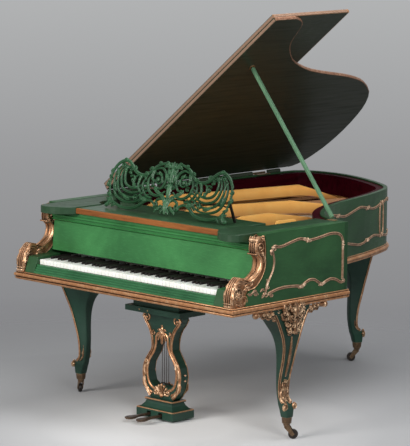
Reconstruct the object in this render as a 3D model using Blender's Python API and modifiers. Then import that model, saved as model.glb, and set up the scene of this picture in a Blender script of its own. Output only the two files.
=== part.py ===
"""Grand piano with the lid open: case, iron frame, keyboard, music desk, lyre and three cabriole legs.

Design frame: x = 0 in the middle of the keyboard and positive at the treble side, y = 0 at the front nose
of the base moulding and positive towards the tail, z = 0 on the floor. The parent empty at the end moves
the whole piano, so that the middle of its footprint lies at the world's origin.
"""
import math

import bmesh
import bpy
from mathutils import Matrix, Vector

GAP = 0.0004

# Case, seen from above
CASE_HALF = 0.711
CASE_FRONT_Y = 0.0111
ARM_BACK_Y = 0.775
WALL = 0.020
RIM_TOP = 0.9645
RIM_BOTTOM = 0.6505
INNER_RIM = (0.0205, 0.0575)
INNER_RIM_Z = (0.700, 0.957)
BENTSIDE = [
    (0.600, 0.795), (0.510, 0.845), (0.440, 0.915), (0.375, 1.000), (0.318, 1.100), (0.271, 1.216),
    (0.235, 1.350), (0.203, 1.477), (0.166, 1.594), (0.126, 1.700), (0.085, 1.782), (0.020, 1.850),
    (-0.070, 1.905), (-0.165, 1.952), (-0.280, 1.996), (-0.410, 2.028), (-0.530, 2.030), (-0.640, 2.000),
    (-0.698, 1.940),
]
SPINE_TAIL_Y = 1.860

# Cheeks and their scrolls, as (y, z) seen from the side
CHEEK_INNER = 0.661
SCROLL_X = (0.655, 0.717)
SCROLL_FRONT = [
    (0.004, 0.652), (0.005, 0.690), (0.012, 0.728), (0.030, 0.760), (0.060, 0.783), (0.092, 0.776),
    (0.118, 0.765), (0.150, 0.778), (0.177, 0.803), (0.188, 0.835), (0.184, 0.856), (0.164, 0.876),
    (0.159, 0.906), (0.168, 0.936), (0.186, 0.953),
]
SCROLL_REAR = [
    (0.219, 0.956), (0.227, 0.910), (0.229, 0.861), (0.229, 0.824), (0.215, 0.781), (0.190, 0.747),
    (0.158, 0.724), (0.116, 0.716), (0.103, 0.694), (0.096, 0.652),
]

# Mouldings, as (distance out of the case face, z)
BASE_MOULDING = [
    (-0.030, 0.6110), (0.0020, 0.6110), (0.0050, 0.6160), (0.0095, 0.6220), (0.0111, 0.6300),
    (0.0090, 0.6380), (0.0040, 0.6430), (0.0030, 0.6500), (-0.030, 0.6500),
]
RIM_MOULDING = [
    (0.0004, 0.6520), (0.0060, 0.6520), (0.0080, 0.6600), (0.0120, 0.6640), (0.0125, 0.6700),
    (0.0095, 0.6760), (0.0040, 0.6800), (0.0030, 0.6860), (0.0004, 0.6860),
]
KEY_BED = ((-0.680, 0.0420, 0.6125), (0.680, 0.752, 0.6496))

# Keyboard
WHITE_PITCH = 0.0235
KEY_HALF = 25 * WHITE_PITCH
KEY_TOP = 0.714
KEY_DEPTH = 0.0229
KEY_FRONT_Y = 0.047
KEY_BACK_Y = 0.400
KEY_PIVOT_Y = 0.270
KEY_SLIT = 0.0010
SHARP_FRONT_Y = 0.097
SHARP_BACK_Y = 0.205
SHARP_TOP = 0.7260
SHARP_WIDTH = 0.0110
OCTAVES = [("key_octave_1", 0, 9), ("key_octave_2", 9, 7), ("key_octave_3", 16, 7), ("key_octave_4", 23, 7),
           ("key_octave_5", 30, 7), ("key_octave_6", 37, 7), ("key_octave_7", 44, 6)]
NO_SHARP_AFTER = (1, 4)
KEY_FRAME = ((-0.586, 0.052, 0.6505), (0.586, 0.410, 0.658))
KEY_RAILS = ((0.060, 0.100, 0.676), (0.262, 0.278, 0.6895))

# Front of the keyboard well
KEY_BLOCK_X = (0.5915, 0.6545)
KEY_BLOCK = [(0.010, 0.6505), (0.036, 0.724), (0.182, 0.730), (0.182, 0.6505)]
KEY_SLIP = [
    (0.0450, 0.6505), (0.0140, 0.6505), (0.0140, 0.6590), (0.0200, 0.6610), (0.0200, 0.6690),
    (0.0260, 0.6710), (0.0260, 0.6790), (0.0320, 0.6810), (0.0320, 0.6900), (0.0450, 0.6900),
]
FALL_HALF = 0.6545
FALL_PIVOT = (0.1990, 0.7450)
FALL_BOARD = [(0.1860, 0.7400), (0.2000, 0.8820), (0.2170, 0.8800), (0.2050, 0.7380)]
FALL_RAIL = [
    (0.2150, 0.8850), (0.1930, 0.8850), (0.1880, 0.8900), (0.1930, 0.8950), (0.1930, 0.8990),
    (0.1860, 0.9050), (0.1860, 0.9110), (0.1930, 0.9160), (0.1930, 0.9290), (0.2150, 0.9290),
]

# Top boards and music desk
CONSOLE_Z = (0.9300, 0.9645)
CONSOLE = [
    (0.4715, 0.1690), (0.5000, 0.1300), (0.5400, 0.0980), (0.5850, 0.0850), (0.6250, 0.0900),
    (0.6500, 0.1120), (0.6545, 0.1500), (0.6545, 0.7430), (0.5400, 0.7430), (0.5400, 0.4200),
    (0.5200, 0.3700), (0.4715, 0.3400),
]
CONSOLE_LEDGE = ((0.4500, 0.2200, 0.9200), (0.5000, 0.3300, 0.9336))
SHELF_HALF = 0.4706
SHELF_Y = (0.1690, 0.4800)
STRIP_DEPTH = 0.018
SHELF_Z = (0.9340, 0.9600)
STRIP_Z = (0.9340, 0.9590)
DESK_PIVOT = Vector((0, 0.2920, 0.9640))
DESK_LEAN = math.radians(17.3)
DESK_THICK = 0.012
DESK_HALF = [
    (0.000, 0.255), (0.030, 0.247), (0.075, 0.242), (0.120, 0.224), (0.150, 0.194), (0.190, 0.178),
    (0.235, 0.188), (0.270, 0.215), (0.308, 0.238), (0.348, 0.230), (0.383, 0.200), (0.404, 0.150),
    (0.400, 0.085), (0.390, 0.035), (0.398, 0.002), (0.000, 0.002),
]
DESK_HOLES = [((0.075, 0.135), 0.050, 0.062), ((0.200, 0.100), 0.060, 0.048), ((0.320, 0.125), 0.048, 0.068)]
DESK_PROP_REACH = 0.110
DESK_PROP_X = 0.380
DESK_PROP_BAR = (0.014, 0.006)
DESK_PROP_ROD = 0.0035

# Lid, in its own plane: s runs from the spine hinge to the treble side, y along the piano
LID_AXIS = Vector((-0.7210, 0, 0.9800))
LID_OPEN = math.radians(38.7)
LID_THICK = 0.018
LID_WIDTH = 1.434
FOLD_Y = 0.609
FLAP_FRONT_Y = 0.092
LID_OUTLINE = [
    (1.434, 0.745), (1.415, 0.795), (1.380, 0.832), (1.317, 0.854), (1.241, 0.878), (1.170, 0.928),
    (1.077, 1.026), (1.006, 1.144), (0.949, 1.280), (0.904, 1.451), (0.871, 1.592), (0.830, 1.719),
    (0.784, 1.815), (0.699, 1.927), (0.589, 2.002), (0.473, 2.042), (0.329, 2.062), (0.208, 2.058),
    (0.125, 2.038), (0.043, 2.000), (0.008, 1.950),
]
EDGE_BEAD = 0.0060
PROP_FOOT = Vector((0.631, 0.757, 0.9760))
PROP_HEAD = Vector((0.095, 0.774, 1.633))
PROP_WIDTH = 0.017
CATCH_RADIUS = 0.016
HINGE_Y = (0.90, 1.70)
HINGE_BARREL = (0.0045, 0.092)

# Inside
PIN_BLOCK = ((-0.640, 0.500, 0.805), (0.5350, 0.632, 0.8440))
BELLY_RAIL = ((-0.650, 0.640, 0.660), (0.520, 0.680, 0.760))
BEAMS = [((-0.420, 0.67), (-0.420, 1.95)), ((-0.090, 0.67), (-0.230, 1.84)), ((0.330, 0.67), (0.090, 1.36))]
BEAM_WIDTH = 0.060
BEAM_Z = (0.662, 0.720)
SOUNDBOARD_Z = (0.800, 0.809)
STRINGS_Z = (0.869, 0.871)
PLATE_Z = (0.845, 0.857)
PLATE_FRONT_Y = 0.505
PLATE_RIGHT_X = 0.530
WINDOW_FRONT = ((0.440, 0.650), (-0.600, 0.650), (-0.600, 1.800))
STRUTS = [((-0.560, 0.640), (-0.295, 1.860)), ((-0.260, 0.600), (0.085, 1.470)),
          ((0.120, 0.600), (0.253, 1.070)), ((0.405, 0.600), (0.430, 0.750))]
STRUT_WIDTH = 0.016

# Each strut's outline from the front to its far foot, as (share of its length, underside, top)
STRUT_SHAPES = [
    [(0.0, 0.850, 0.862), (0.05, 0.850, 0.903), (0.13, 0.894, 0.953), (0.789, 0.900, 0.953), (0.86, 0.890, 0.925),
     (0.95, 0.850, 0.885), (1.0, 0.850, 0.862)],
    [(0.0, 0.850, 0.862), (0.05, 0.850, 0.915), (0.13, 0.884, 0.940), (0.678, 0.884, 0.945), (0.86, 0.876, 0.921),
     (0.90, 0.850, 0.880), (1.0, 0.850, 0.862)],
    [(0.0, 0.850, 0.862), (0.06, 0.850, 0.922), (0.14, 0.876, 0.936), (0.449, 0.878, 0.943), (0.92, 0.878, 0.908),
     (0.96, 0.850, 0.895), (1.0, 0.850, 0.862)],
    [(0.0, 0.850, 0.862), (0.06, 0.850, 0.915), (0.15, 0.876, 0.950), (0.82, 0.876, 0.950), (0.93, 0.860, 0.905),
     (1.0, 0.850, 0.862)],
]
BRIDGE = [(0.360, 0.720), (0.200, 0.860), (0.090, 1.060), (0.020, 1.340), (-0.080, 1.560), (-0.280, 1.700)]
STRINGS = [
    (-0.600, 0.700), (0.460, 0.700), (0.460, 0.740), (0.280, 0.940), (0.180, 1.180), (0.090, 1.480),
    (-0.050, 1.760), (-0.280, 1.860), (-0.560, 1.860),
]
DAMPER_Y = (0.6600, 0.6880)
DAMPER_COUNT = 16
DAMPER_PITCH = 0.052
DAMPER_SIZE = 0.012

# Legs: (height, front, back, front width, back width), measured from the caster's upright axis
LEG_TOP = [
    (0.6100, 0.064, -0.155, 0.280, 0.160), (0.5850, 0.066, -0.145, 0.250, 0.135),
    (0.5500, 0.058, -0.124, 0.205, 0.100),
]
BACK_LEG_TOP = [
    (0.6490, 0.034, -0.150, 0.220, 0.130), (0.6100, 0.042, -0.148, 0.220, 0.130),
    (0.5850, 0.050, -0.138, 0.210, 0.120), (0.5500, 0.054, -0.120, 0.190, 0.098),
]
LEG_LEVELS = [
    (0.5100, 0.049, -0.094, 0.160, 0.072), (0.4700, 0.043, -0.060, 0.126, 0.058),
    (0.4200, 0.033, -0.045, 0.100, 0.045), (0.3600, 0.018, -0.045, 0.086, 0.036),
    (0.2800, -0.003, -0.050, 0.078, 0.032), (0.2200, -0.011, -0.050, 0.074, 0.032),
    (0.1820, -0.008, -0.042, 0.068, 0.034), (0.1700, 0.032, -0.040, 0.066, 0.034),
    (0.1500, 0.036, -0.034, 0.064, 0.036), (0.1360, 0.026, -0.029, 0.054, 0.040),
    (0.1005, 0.021, -0.021, 0.044, 0.044),
]
LEGS = [("left", (-0.684, 0.405), 180, 145), ("right", (0.684, 0.405), 0, 35), ("back", (-0.285, 1.995), 73, 224)]
CUP_Z = (0.0720, 0.1001)
CUP_RADIUS = 0.0240
WHEEL_RADIUS = 0.0225
WHEEL_FACETS = 32
WHEEL_CENTRE_Z = WHEEL_RADIUS * math.cos(math.pi / WHEEL_FACETS)
WHEEL_WIDTH = 0.0160
AXLE_RADIUS = 0.0030
BORE_RADIUS = 0.0033
TRAIL = 0.0300

# Lyre and pedals
LYRE_Y = (0.282, 0.331)
LYRE_HALF = [
    (0.000, 0.505), (0.126, 0.505), (0.126, 0.487), (0.116, 0.462), (0.100, 0.445), (0.080, 0.420),
    (0.066, 0.380), (0.066, 0.335), (0.088, 0.300), (0.118, 0.255), (0.126, 0.205), (0.112, 0.150),
    (0.088, 0.112), (0.070, 0.094), (0.000, 0.094),
]
LYRE_HOLE = [
    (0.000, 0.406), (0.020, 0.400), (0.032, 0.382), (0.036, 0.345), (0.052, 0.310), (0.086, 0.262),
    (0.092, 0.215), (0.080, 0.170), (0.048, 0.150), (0.000, 0.162),
]
LYRE_BLOCKS = [((-0.091, 0.260, 0.086), (0.091, 0.353, 0.0945)), ((-0.120, 0.2345, 0.010), (0.120, 0.377, 0.048))]
LYRE_FLARE = [(0.047, 0.116, 0.238, 0.373), (0.056, 0.103, 0.250, 0.361), (0.070, 0.090, 0.261, 0.351),
              (0.087, 0.083, 0.268, 0.344)]
LYRE_PLATE = [((-0.180, 0.215, 0.5065), (0.180, 0.385, 0.532)), ((-0.150, 0.240, 0.531), (0.150, 0.370, 0.6105))]
LYRE_RODS_X = (-0.0210, -0.0070, 0.0070, 0.0210)
LYRE_ROD_RADIUS = 0.0016
PEDALS = [("pedal_left", -0.038), ("pedal_right", 0.038)]
PEDAL_PIVOT = (0.3200, 0.0260)
PEDAL_HALF = [(0.0085, 0.335), (0.0085, 0.165), (0.0130, 0.150), (0.0205, 0.130), (0.0225, 0.110), (0.0170, 0.094),
              (0.0, 0.087)]
PEDAL_THICK = 0.010
PEDAL_SLOT = ((-0.0130, 0.2000, 0.0135), (0.0130, 0.3450, 0.0400))

PAINTS = {
    "green_paint": ((0.050, 0.130, 0.055), 0.42, 0.0),
    "dark_green_paint": ((0.008, 0.028, 0.022), 0.38, 0.0),
    "gilding": ((0.430, 0.200, 0.080), 0.36, 0.75),
    "mahogany": ((0.420, 0.110, 0.045), 0.45, 0.0),
    "inner_veneer": ((0.045, 0.004, 0.008), 0.30, 0.0),
    "lid_green": ((0.022, 0.024, 0.012), 0.28, 0.0),
    "gold_paint": ((0.650, 0.350, 0.085), 0.40, 0.6),
    "spruce": ((0.420, 0.250, 0.110), 0.55, 0.0),
    "beech": ((0.350, 0.210, 0.110), 0.60, 0.0),
    "string_steel": ((0.420, 0.380, 0.330), 0.35, 1.0),
    "damper_felt": ((0.330, 0.010, 0.030), 0.90, 0.0),
    "ivory": ((0.800, 0.770, 0.700), 0.30, 0.0),
    "brass": ((0.450, 0.300, 0.120), 0.40, 1.0),
    "wheel_iron": ((0.030, 0.022, 0.018), 0.50, 0.8),
    "prop_paint": ((0.110, 0.260, 0.130), 0.40, 0.0),
}


def clear_scene():
    for obj in list(bpy.data.objects):
        bpy.data.objects.remove(obj, do_unlink=True)


def collection(name):
    made = bpy.data.collections.new(name)
    bpy.context.scene.collection.children.link(made)
    return made


def paint(name):
    """One material for each object, from the named paint."""
    colour, roughness, metallic = PAINTS[name]
    material = bpy.data.materials.new(name)
    material.use_nodes = True
    shader = material.node_tree.nodes["Principled BSDF"]
    shader.inputs["Base Color"].default_value = (*colour, 1.0)
    shader.inputs["Roughness"].default_value = roughness
    shader.inputs["Metallic"].default_value = metallic
    material.diffuse_color = (*colour, 1.0)
    return material


def add_object(name, bm, paint_name, target=None, smooth=False):
    """Turns a bmesh into a named object, its normals facing out."""
    bmesh.ops.recalc_face_normals(bm, faces=bm.faces)
    mesh = bpy.data.meshes.new(name)
    bm.to_mesh(mesh)
    bm.free()
    if smooth:
        mesh.shade_smooth()
        mesh.set_sharp_from_angle(angle=math.radians(35))
    mesh.materials.append(paint(paint_name))
    obj = bpy.data.objects.new(name, mesh)
    (target or PIANO).objects.link(obj)
    return obj


def smooth_line(points, steps=3, closed=False):
    """A rounded line through the points: a Catmull-Rom curve with this many steps for each stretch."""
    line = [Vector(p) for p in points]
    count = len(line)
    found = []
    for i in range(count if closed else count - 1):
        if closed:
            a, b, c, d = (line[(i + k) % count] for k in (-1, 0, 1, 2))
        else:
            a, b, c, d = (line[min(max(i + k, 0), count - 1)] for k in (-1, 0, 1, 2))
        for step in range(steps):
            t = step / steps
            found.append(0.5 * (2 * b + (c - a) * t + (2 * a - 5 * b + 4 * c - d) * t * t
                                + (3 * b - a - 3 * c + d) * t ** 3))
    if not closed:
        found.append(line[-1])
    return found


def offset_line(line, distance):
    """The open line moved to its left by this distance, with mitred corners."""
    moved = []
    for i, point in enumerate(line):
        before = (point - line[i - 1]).normalized() if i else None
        after = (line[i + 1] - point).normalized() if i + 1 < len(line) else None
        first = before or after
        second = after or before
        normal = Vector((-first.y - second.y, first.x + second.x)).normalized()
        lean = normal.dot(Vector((-first.y, first.x)))
        moved.append(point + normal * distance / max(lean, 0.4))
    return moved


def add_box(bm, low, high):
    size = Vector(high) - Vector(low)
    centre = (Vector(high) + Vector(low)) / 2
    bmesh.ops.create_cube(bm, size=1, matrix=Matrix.Translation(centre) @ Matrix.Diagonal((*size, 1)))


def box(name, low, high, paint_name, bevel=0.0):
    bm = bmesh.new()
    add_box(bm, low, high)
    if bevel:
        bmesh.ops.bevel(bm, geom=list(bm.edges), offset=bevel, segments=1, profile=0.5, affect="EDGES",
                        material=-1)
    return add_object(name, bm, paint_name)


def add_prism(bm, outline, start, end, place):
    """Extrudes a flat outline: place(u, v, w) gives the point for outline (u, v) at depth w."""
    face = bm.faces.new([bm.verts.new(place(p[0], p[1], start)) for p in outline])
    made = bmesh.ops.extrude_face_region(bm, geom=[face])
    top = [g for g in made["geom"] if isinstance(g, bmesh.types.BMVert)]
    shift = Vector(place(0, 0, end)) - Vector(place(0, 0, start))
    bmesh.ops.translate(bm, verts=top, vec=shift)


def flat_place(u, v, w):
    return (u, v, w)


def side_place(u, v, w):
    return (w, u, v)


def front_place(u, v, w):
    return (u, w, v)


def prism(name, outline, start, end, place, paint_name, bevel=0.0):
    bm = bmesh.new()
    add_prism(bm, outline, start, end, place)
    obj = add_object(name, bm, paint_name)
    if bevel:
        add_bevel(obj, bevel)
    return obj


def add_bevel(obj, width, segments=1):
    modifier = obj.modifiers.new("Rounded edges", "BEVEL")
    modifier.width = width
    modifier.segments = segments
    modifier.limit_method = "ANGLE"
    modifier.angle_limit = math.radians(50)


def sweep(name, profile, path, paint_name, target=None):
    """Carries a profile of (distance to the right, z) along a flat path, with mitred corners."""
    rings = [offset_line(path, -distance) for distance, _ in profile]
    bm = bmesh.new()
    add_loft(bm, [[Vector((*ring[i], z)) for ring, (_, z) in zip(rings, profile)] for i in range(len(path))])
    return add_object(name, bm, paint_name, target, smooth=True)


def add_loft(bm, sections):
    """Extrudes one face from section to section. Each section is a ring of points, all of one count."""
    face = bm.faces.new([bm.verts.new(p) for p in sections[0]])
    inner_faces = []
    for section in sections[1:]:
        made = bmesh.ops.extrude_face_region(bm, geom=[face])
        inner_faces.append(face)
        face = next(g for g in made["geom"] if isinstance(g, bmesh.types.BMFace))
        for vert, point in zip(face.verts, section):
            vert.co = point
    bmesh.ops.delete(bm, geom=inner_faces[1:], context="FACES_ONLY")


def turned(name, profile, paint_name, steps=24):
    """A turned solid about its own Z axis, from (radius, height) points that run from the top down."""
    mesh = bpy.data.meshes.new(name)
    mesh.from_pydata([(r, 0, z) for r, z in profile], [(i, i + 1) for i in range(len(profile) - 1)], [])
    mesh.materials.append(paint(paint_name))
    obj = bpy.data.objects.new(name, mesh)
    PIANO.objects.link(obj)
    screw = obj.modifiers.new("Turn", "SCREW")
    screw.steps = steps
    screw.render_steps = steps
    screw.use_merge_vertices = True
    screw.merge_threshold = 0.0001
    screw.use_normal_calculate = True
    return obj


def boolean(obj, other, operation):
    modifier = obj.modifiers.new(operation.title(), "BOOLEAN")
    modifier.operation = operation
    modifier.solver = "EXACT"
    modifier.object = other


def cutter(name, low, high):
    bm = bmesh.new()
    add_box(bm, low, high)
    obj = add_object(name, bm, "beech", CUTTERS)
    hide(obj)
    return obj


def hide(obj):
    obj.hide_render = True
    obj.display_type = "WIRE"


def hinge_empty(name, position):
    """An empty on a joint's axis, which carries the pieces that turn or slide together."""
    empty = bpy.data.objects.new(name, None)
    empty.location = position
    PIANO.objects.link(empty)
    return empty


def carry(parent, *children):
    """Parents the pieces, keeping each where it was modelled."""
    for child in children:
        child.parent = parent
        child.matrix_parent_inverse = parent.matrix_basis.inverted()


def case_line():
    """The case's outer line, from the treble corner round the tail to the bass front."""
    corner = [Vector((CASE_HALF, ARM_BACK_Y)), Vector((0.664, ARM_BACK_Y + 0.001))]
    spine = [Vector((-CASE_HALF, SPINE_TAIL_Y)), Vector((-CASE_HALF, ARM_BACK_Y - WALL))]
    return corner + smooth_line(BENTSIDE, 2) + spine


def wall(name, line, inner, outer, z_range, paint_name):
    """An upright wall between two offsets of the line."""
    profile = [(-inner, z_range[0]), (-outer, z_range[0]), (-outer, z_range[1]), (-inner, z_range[1])]
    return sweep(name, profile, line, paint_name)


def make_case():
    line = case_line()
    wall("case_rim", line, 0.0, WALL, (RIM_BOTTOM, RIM_TOP), "green_paint")
    inner = line[2:-1] + [Vector((-CASE_HALF, ARM_BACK_Y - WALL + 0.01))]
    wall("inner_rim", inner, *INNER_RIM, INNER_RIM_Z, "inner_veneer")
    moulding_line = line[1:-1] + [Vector((-CASE_HALF, ARM_BACK_Y + 0.022))]
    sweep("rim_moulding", RIM_MOULDING, moulding_line, "gilding")
    base_line = [Vector(p) for p in ((CASE_HALF, ARM_BACK_Y + 0.008), (CASE_HALF, CASE_FRONT_Y),
                                     (-CASE_HALF, CASE_FRONT_Y), (-CASE_HALF, ARM_BACK_Y + 0.008))]
    sweep("base_moulding", [(-d, z) for d, z in BASE_MOULDING], base_line, "gilding")
    box("key_bed", *KEY_BED, "beech")


def make_cheek(side, sign):
    """One arm: the flat cheek and the gilt scroll along its front edge."""
    rear = [(y + GAP, z) for y, z in reversed(SCROLL_REAR)]
    rear[0] = (rear[0][0], RIM_BOTTOM)
    back = ARM_BACK_Y - WALL - 0.0015
    outline = rear + [(rear[-1][0], RIM_TOP), (back, RIM_TOP), (back, RIM_BOTTOM)]
    prism("cheek_" + side, outline, sign * CHEEK_INNER, sign * CASE_HALF, side_place, "green_paint")
    scroll = smooth_line(SCROLL_FRONT, 2) + [Vector(p) for p in SCROLL_REAR]
    obj = prism("arm_scroll_" + side, scroll, sign * SCROLL_X[0], sign * SCROLL_X[1], side_place, "gilding")
    add_bevel(obj, 0.004, 2)
    prism("key_block_" + side, KEY_BLOCK, sign * KEY_BLOCK_X[0], sign * KEY_BLOCK_X[1], side_place, "green_paint",
          0.0015)


def make_console(side, sign):
    front = smooth_line(CONSOLE[:7], 2)
    outline = front + [Vector(p) for p in CONSOLE[7:]]
    outline = [(sign * p.x, p.y) for p in outline]
    console = prism("console_" + side, outline, *CONSOLE_Z, flat_place, "green_paint", 0.002)
    low, high = (Vector((sign * x, y, z)) for x, y, z in CONSOLE_LEDGE)
    low.x, high.x = min(low.x, high.x), max(low.x, high.x)
    boolean(console, cutter("ledge_" + side, low, high), "UNION")


def make_front():
    prism("key_slip", KEY_SLIP, -KEY_BLOCK_X[0] + GAP, KEY_BLOCK_X[0] - GAP, side_place, "green_paint")
    board = prism("fallboard", FALL_BOARD, -FALL_HALF, FALL_HALF, side_place, "green_paint", 0.0015)
    carry(hinge_empty("fallboard_axis", (0, *FALL_PIVOT)), board)
    prism("fall_rail", FALL_RAIL, -0.6540, 0.6540, side_place, "green_paint")


def key_outline(first, count):
    """The top view of one octave's naturals: fingers of one width, joined behind the fallboard."""
    left = -KEY_HALF + first * WHITE_PITCH
    points = [(left + KEY_SLIT / 2, KEY_BACK_Y)]
    for i in range(count):
        x = left + i * WHITE_PITCH
        points += [(x + KEY_SLIT / 2, KEY_FRONT_Y), (x + WHITE_PITCH - KEY_SLIT / 2, KEY_FRONT_Y)]
        if i + 1 < count:
            points += [(x + WHITE_PITCH - KEY_SLIT / 2, SHARP_BACK_Y), (x + WHITE_PITCH + KEY_SLIT / 2, SHARP_BACK_Y)]
    points.append((left + count * WHITE_PITCH - KEY_SLIT / 2, KEY_BACK_Y))
    return points


def sharps_between(first, count):
    """The x of each sharp that stands on this octave's naturals. Natural 0 is the lowest, an A."""
    found = []
    for i in range(first, first + count - 1):
        if i % 7 not in NO_SHARP_AFTER:
            found.append(-KEY_HALF + (i + 1) * WHITE_PITCH)
    return found


def make_keys():
    """The key frame, and one body for each octave."""
    shift = hinge_empty("key_frame_axis", (0, KEY_PIVOT_Y, 0.650))
    bm = bmesh.new()
    add_box(bm, *KEY_FRAME)
    frame = add_object("key_frame", bm, "beech")
    rail_half = KEY_FRAME[1][0] - 0.002
    for i, (low_y, high_y, top) in enumerate(KEY_RAILS):
        rail = cutter(f"key_rail_{i}", (-rail_half, low_y, 0.655), (rail_half, high_y, top))
        boolean(frame, rail, "UNION")
    carry(shift, frame)
    for name, first, count in OCTAVES:
        bm = bmesh.new()
        add_prism(bm, key_outline(first, count), KEY_TOP - KEY_DEPTH, KEY_TOP, flat_place)
        keys = add_object(name, bm, "ivory")
        bm = bmesh.new()
        for x in sharps_between(first, count):
            low = (x - SHARP_WIDTH / 2, SHARP_FRONT_Y, KEY_TOP - 0.004)
            add_box(bm, low, (x + SHARP_WIDTH / 2, SHARP_BACK_Y + 0.02, SHARP_TOP))
        sharps = add_object(name + "_sharps", bm, "ivory", CUTTERS)
        hide(sharps)
        boolean(keys, sharps, "UNION")
        pivot = hinge_empty(name + "_axis", (0, KEY_PIVOT_Y, KEY_TOP - KEY_DEPTH))
        carry(pivot, keys, sharps)
        carry(shift, pivot)


def desk_point(u, v, w):
    """A point of the desk: u across, v up its leaning face, w out of its back."""
    up = Vector((0, math.sin(DESK_LEAN), math.cos(DESK_LEAN)))
    back = Vector((0, math.cos(DESK_LEAN), -math.sin(DESK_LEAN)))
    return DESK_PIVOT + Vector((u, 0, 0)) + up * v + back * w


def mirrored(half):
    """The whole outline, from its half with x >= 0 and both ends at x = 0."""
    return [Vector(p) for p in half] + [Vector((-p[0], p[1])) for p in reversed(half[1:-1])]


def make_desk():
    """The sliding shelf, the pierced music desk and its folding prop."""
    slide = hinge_empty("music_shelf_axis", (0, SHELF_Y[0], SHELF_Z[0]))
    shelf = box("music_shelf", (-SHELF_HALF, SHELF_Y[0] + STRIP_DEPTH + GAP, SHELF_Z[0]),
                (SHELF_HALF, SHELF_Y[1], SHELF_Z[1]), "green_paint", 0.0015)
    strip = box("shelf_strip", (-SHELF_HALF, SHELF_Y[0], STRIP_Z[0]),
                (SHELF_HALF, SHELF_Y[0] + STRIP_DEPTH, STRIP_Z[1]), "mahogany", 0.0015)
    half = smooth_line(DESK_HALF[:-1], 2) + [Vector(DESK_HALF[-1])]
    bm = bmesh.new()
    add_prism(bm, mirrored(half), -DESK_THICK, 0, desk_point)
    desk = add_object("music_desk", bm, "green_paint")
    bm = bmesh.new()
    for sign in (-1, 1):
        for (x, y), across, high in DESK_HOLES:
            ring = [(sign * x + across * math.cos(a), y + high * math.sin(a))
                    for a in (math.tau * k / 12 for k in range(12))]
            add_prism(bm, ring, -0.03, 0.03, desk_point)
    holes = add_object("desk_holes", bm, "beech", CUTTERS)
    hide(holes)
    boolean(desk, holes, "DIFFERENCE")
    hinge = hinge_empty("music_desk_axis", DESK_PIVOT)
    carry(hinge, desk, holes)
    prop_top = desk_point(0, DESK_PROP_REACH, 0.006)
    prop = make_desk_prop(prop_top)
    prop_hinge = hinge_empty("desk_prop_axis", prop_top)
    carry(prop_hinge, prop)
    carry(hinge, prop_hinge)
    carry(slide, shelf, strip, hinge)


def make_desk_prop(top):
    """A U of flat bars behind the desk: both feet rest just above the shelf."""
    foot_y = DESK_PIVOT.y + 2 * (top.y - DESK_PIVOT.y)
    foot = Vector((0, foot_y, SHELF_Z[1] + 0.004))
    run = foot - Vector((0, top.y, top.z))
    across = Vector((0, -run.z, run.y)).normalized() * DESK_PROP_BAR[1] / 2
    half = DESK_PROP_BAR[0] / 2
    ring = [(p.y, p.z) for p in (top - across, top + across, foot + across, foot - across)]
    bm = bmesh.new()
    for sign in (-1, 1):
        add_prism(bm, ring, sign * DESK_PROP_X - half, sign * DESK_PROP_X + half, side_place)
    legs = add_object("desk_prop_legs", bm, "brass", CUTTERS)
    hide(legs)
    bm = bmesh.new()
    bmesh.ops.create_cone(bm, cap_ends=True, segments=10, radius1=DESK_PROP_ROD, radius2=DESK_PROP_ROD,
                          depth=2 * DESK_PROP_X,
                          matrix=Matrix.Translation(top + run * 0.3) @ Matrix.Rotation(math.pi / 2, 4, "Y"))
    prop = add_object("desk_prop", bm, "brass")
    boolean(prop, legs, "UNION")
    carry(prop, legs)
    return prop


def lid_point(s, y, w):
    """A point of the open lid: w is the height over its underside, along its upward normal."""
    along = Vector((math.cos(LID_OPEN), 0, math.sin(LID_OPEN)))
    normal = Vector((-math.sin(LID_OPEN), 0, math.cos(LID_OPEN)))
    return LID_AXIS + along * s + normal * w + Vector((0, y, 0))


def edge_bead(name, path, low, high):
    """A rounded gilt bead along an edge of the lid, in the lid's own plane."""
    middle = (low + high) / 2
    profile = [(GAP, low), (EDGE_BEAD * 0.7, low), (EDGE_BEAD, middle), (EDGE_BEAD * 0.7, high), (GAP, high)]
    rings = [offset_line(path, -distance) for distance, _ in profile]
    bm = bmesh.new()
    add_loft(bm, [[lid_point(*ring[i], w) for ring, (_, w) in zip(rings, profile)] for i in range(len(path))])
    return add_object(name, bm, "gilding", smooth=True)


def make_lid():
    """The lid, hinged on the spine, and its front flap folded back on top of it."""
    curve = [Vector((LID_WIDTH, FOLD_Y + 0.001))] + smooth_line(LID_OUTLINE, 2)
    outline = curve + [Vector((0.003, 1.900)), Vector((0.003, FOLD_Y + 0.001))]
    lid = prism("lid_main", outline, 0, LID_THICK, lid_point, "lid_green")
    bead = edge_bead("lid_moulding", curve + [Vector((0.003, 1.925))], 0.001, LID_THICK - 0.001)
    centre = (PROP_HEAD - LID_AXIS).dot(lid_point(1, 0, 0) - LID_AXIS)
    bm = bmesh.new()
    ring = [(centre + CATCH_RADIUS * math.cos(a), PROP_HEAD.y + CATCH_RADIUS * math.sin(a))
            for a in (math.tau * k / 12 for k in range(12))]
    add_prism(bm, ring, -0.0045, -GAP, lid_point)
    catch = add_object("prop_catch", bm, "brass")
    hinge = hinge_empty("lid_axis", LID_AXIS)
    carry(hinge, lid, bead, catch)
    low = LID_THICK + 0.0007
    high = low + LID_THICK
    back_y = 2 * FOLD_Y - FLAP_FRONT_Y
    flap_outline = [(0.004, FOLD_Y + 0.0015), (LID_WIDTH - 0.004, FOLD_Y + 0.0015), (LID_WIDTH - 0.004, back_y),
                    (0.004, back_y)]
    flap = prism("lid_flap", flap_outline, low, high, lid_point, "green_paint")
    flap_path = [Vector(p) for p in flap_outline[1:]]
    flap_bead = edge_bead("flap_moulding", flap_path, low + 0.0005, high - 0.0005)
    fold = hinge_empty("flap_axis", lid_point(0, FOLD_Y, LID_THICK))
    carry(fold, flap, flap_bead)
    carry(hinge, fold)


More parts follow.
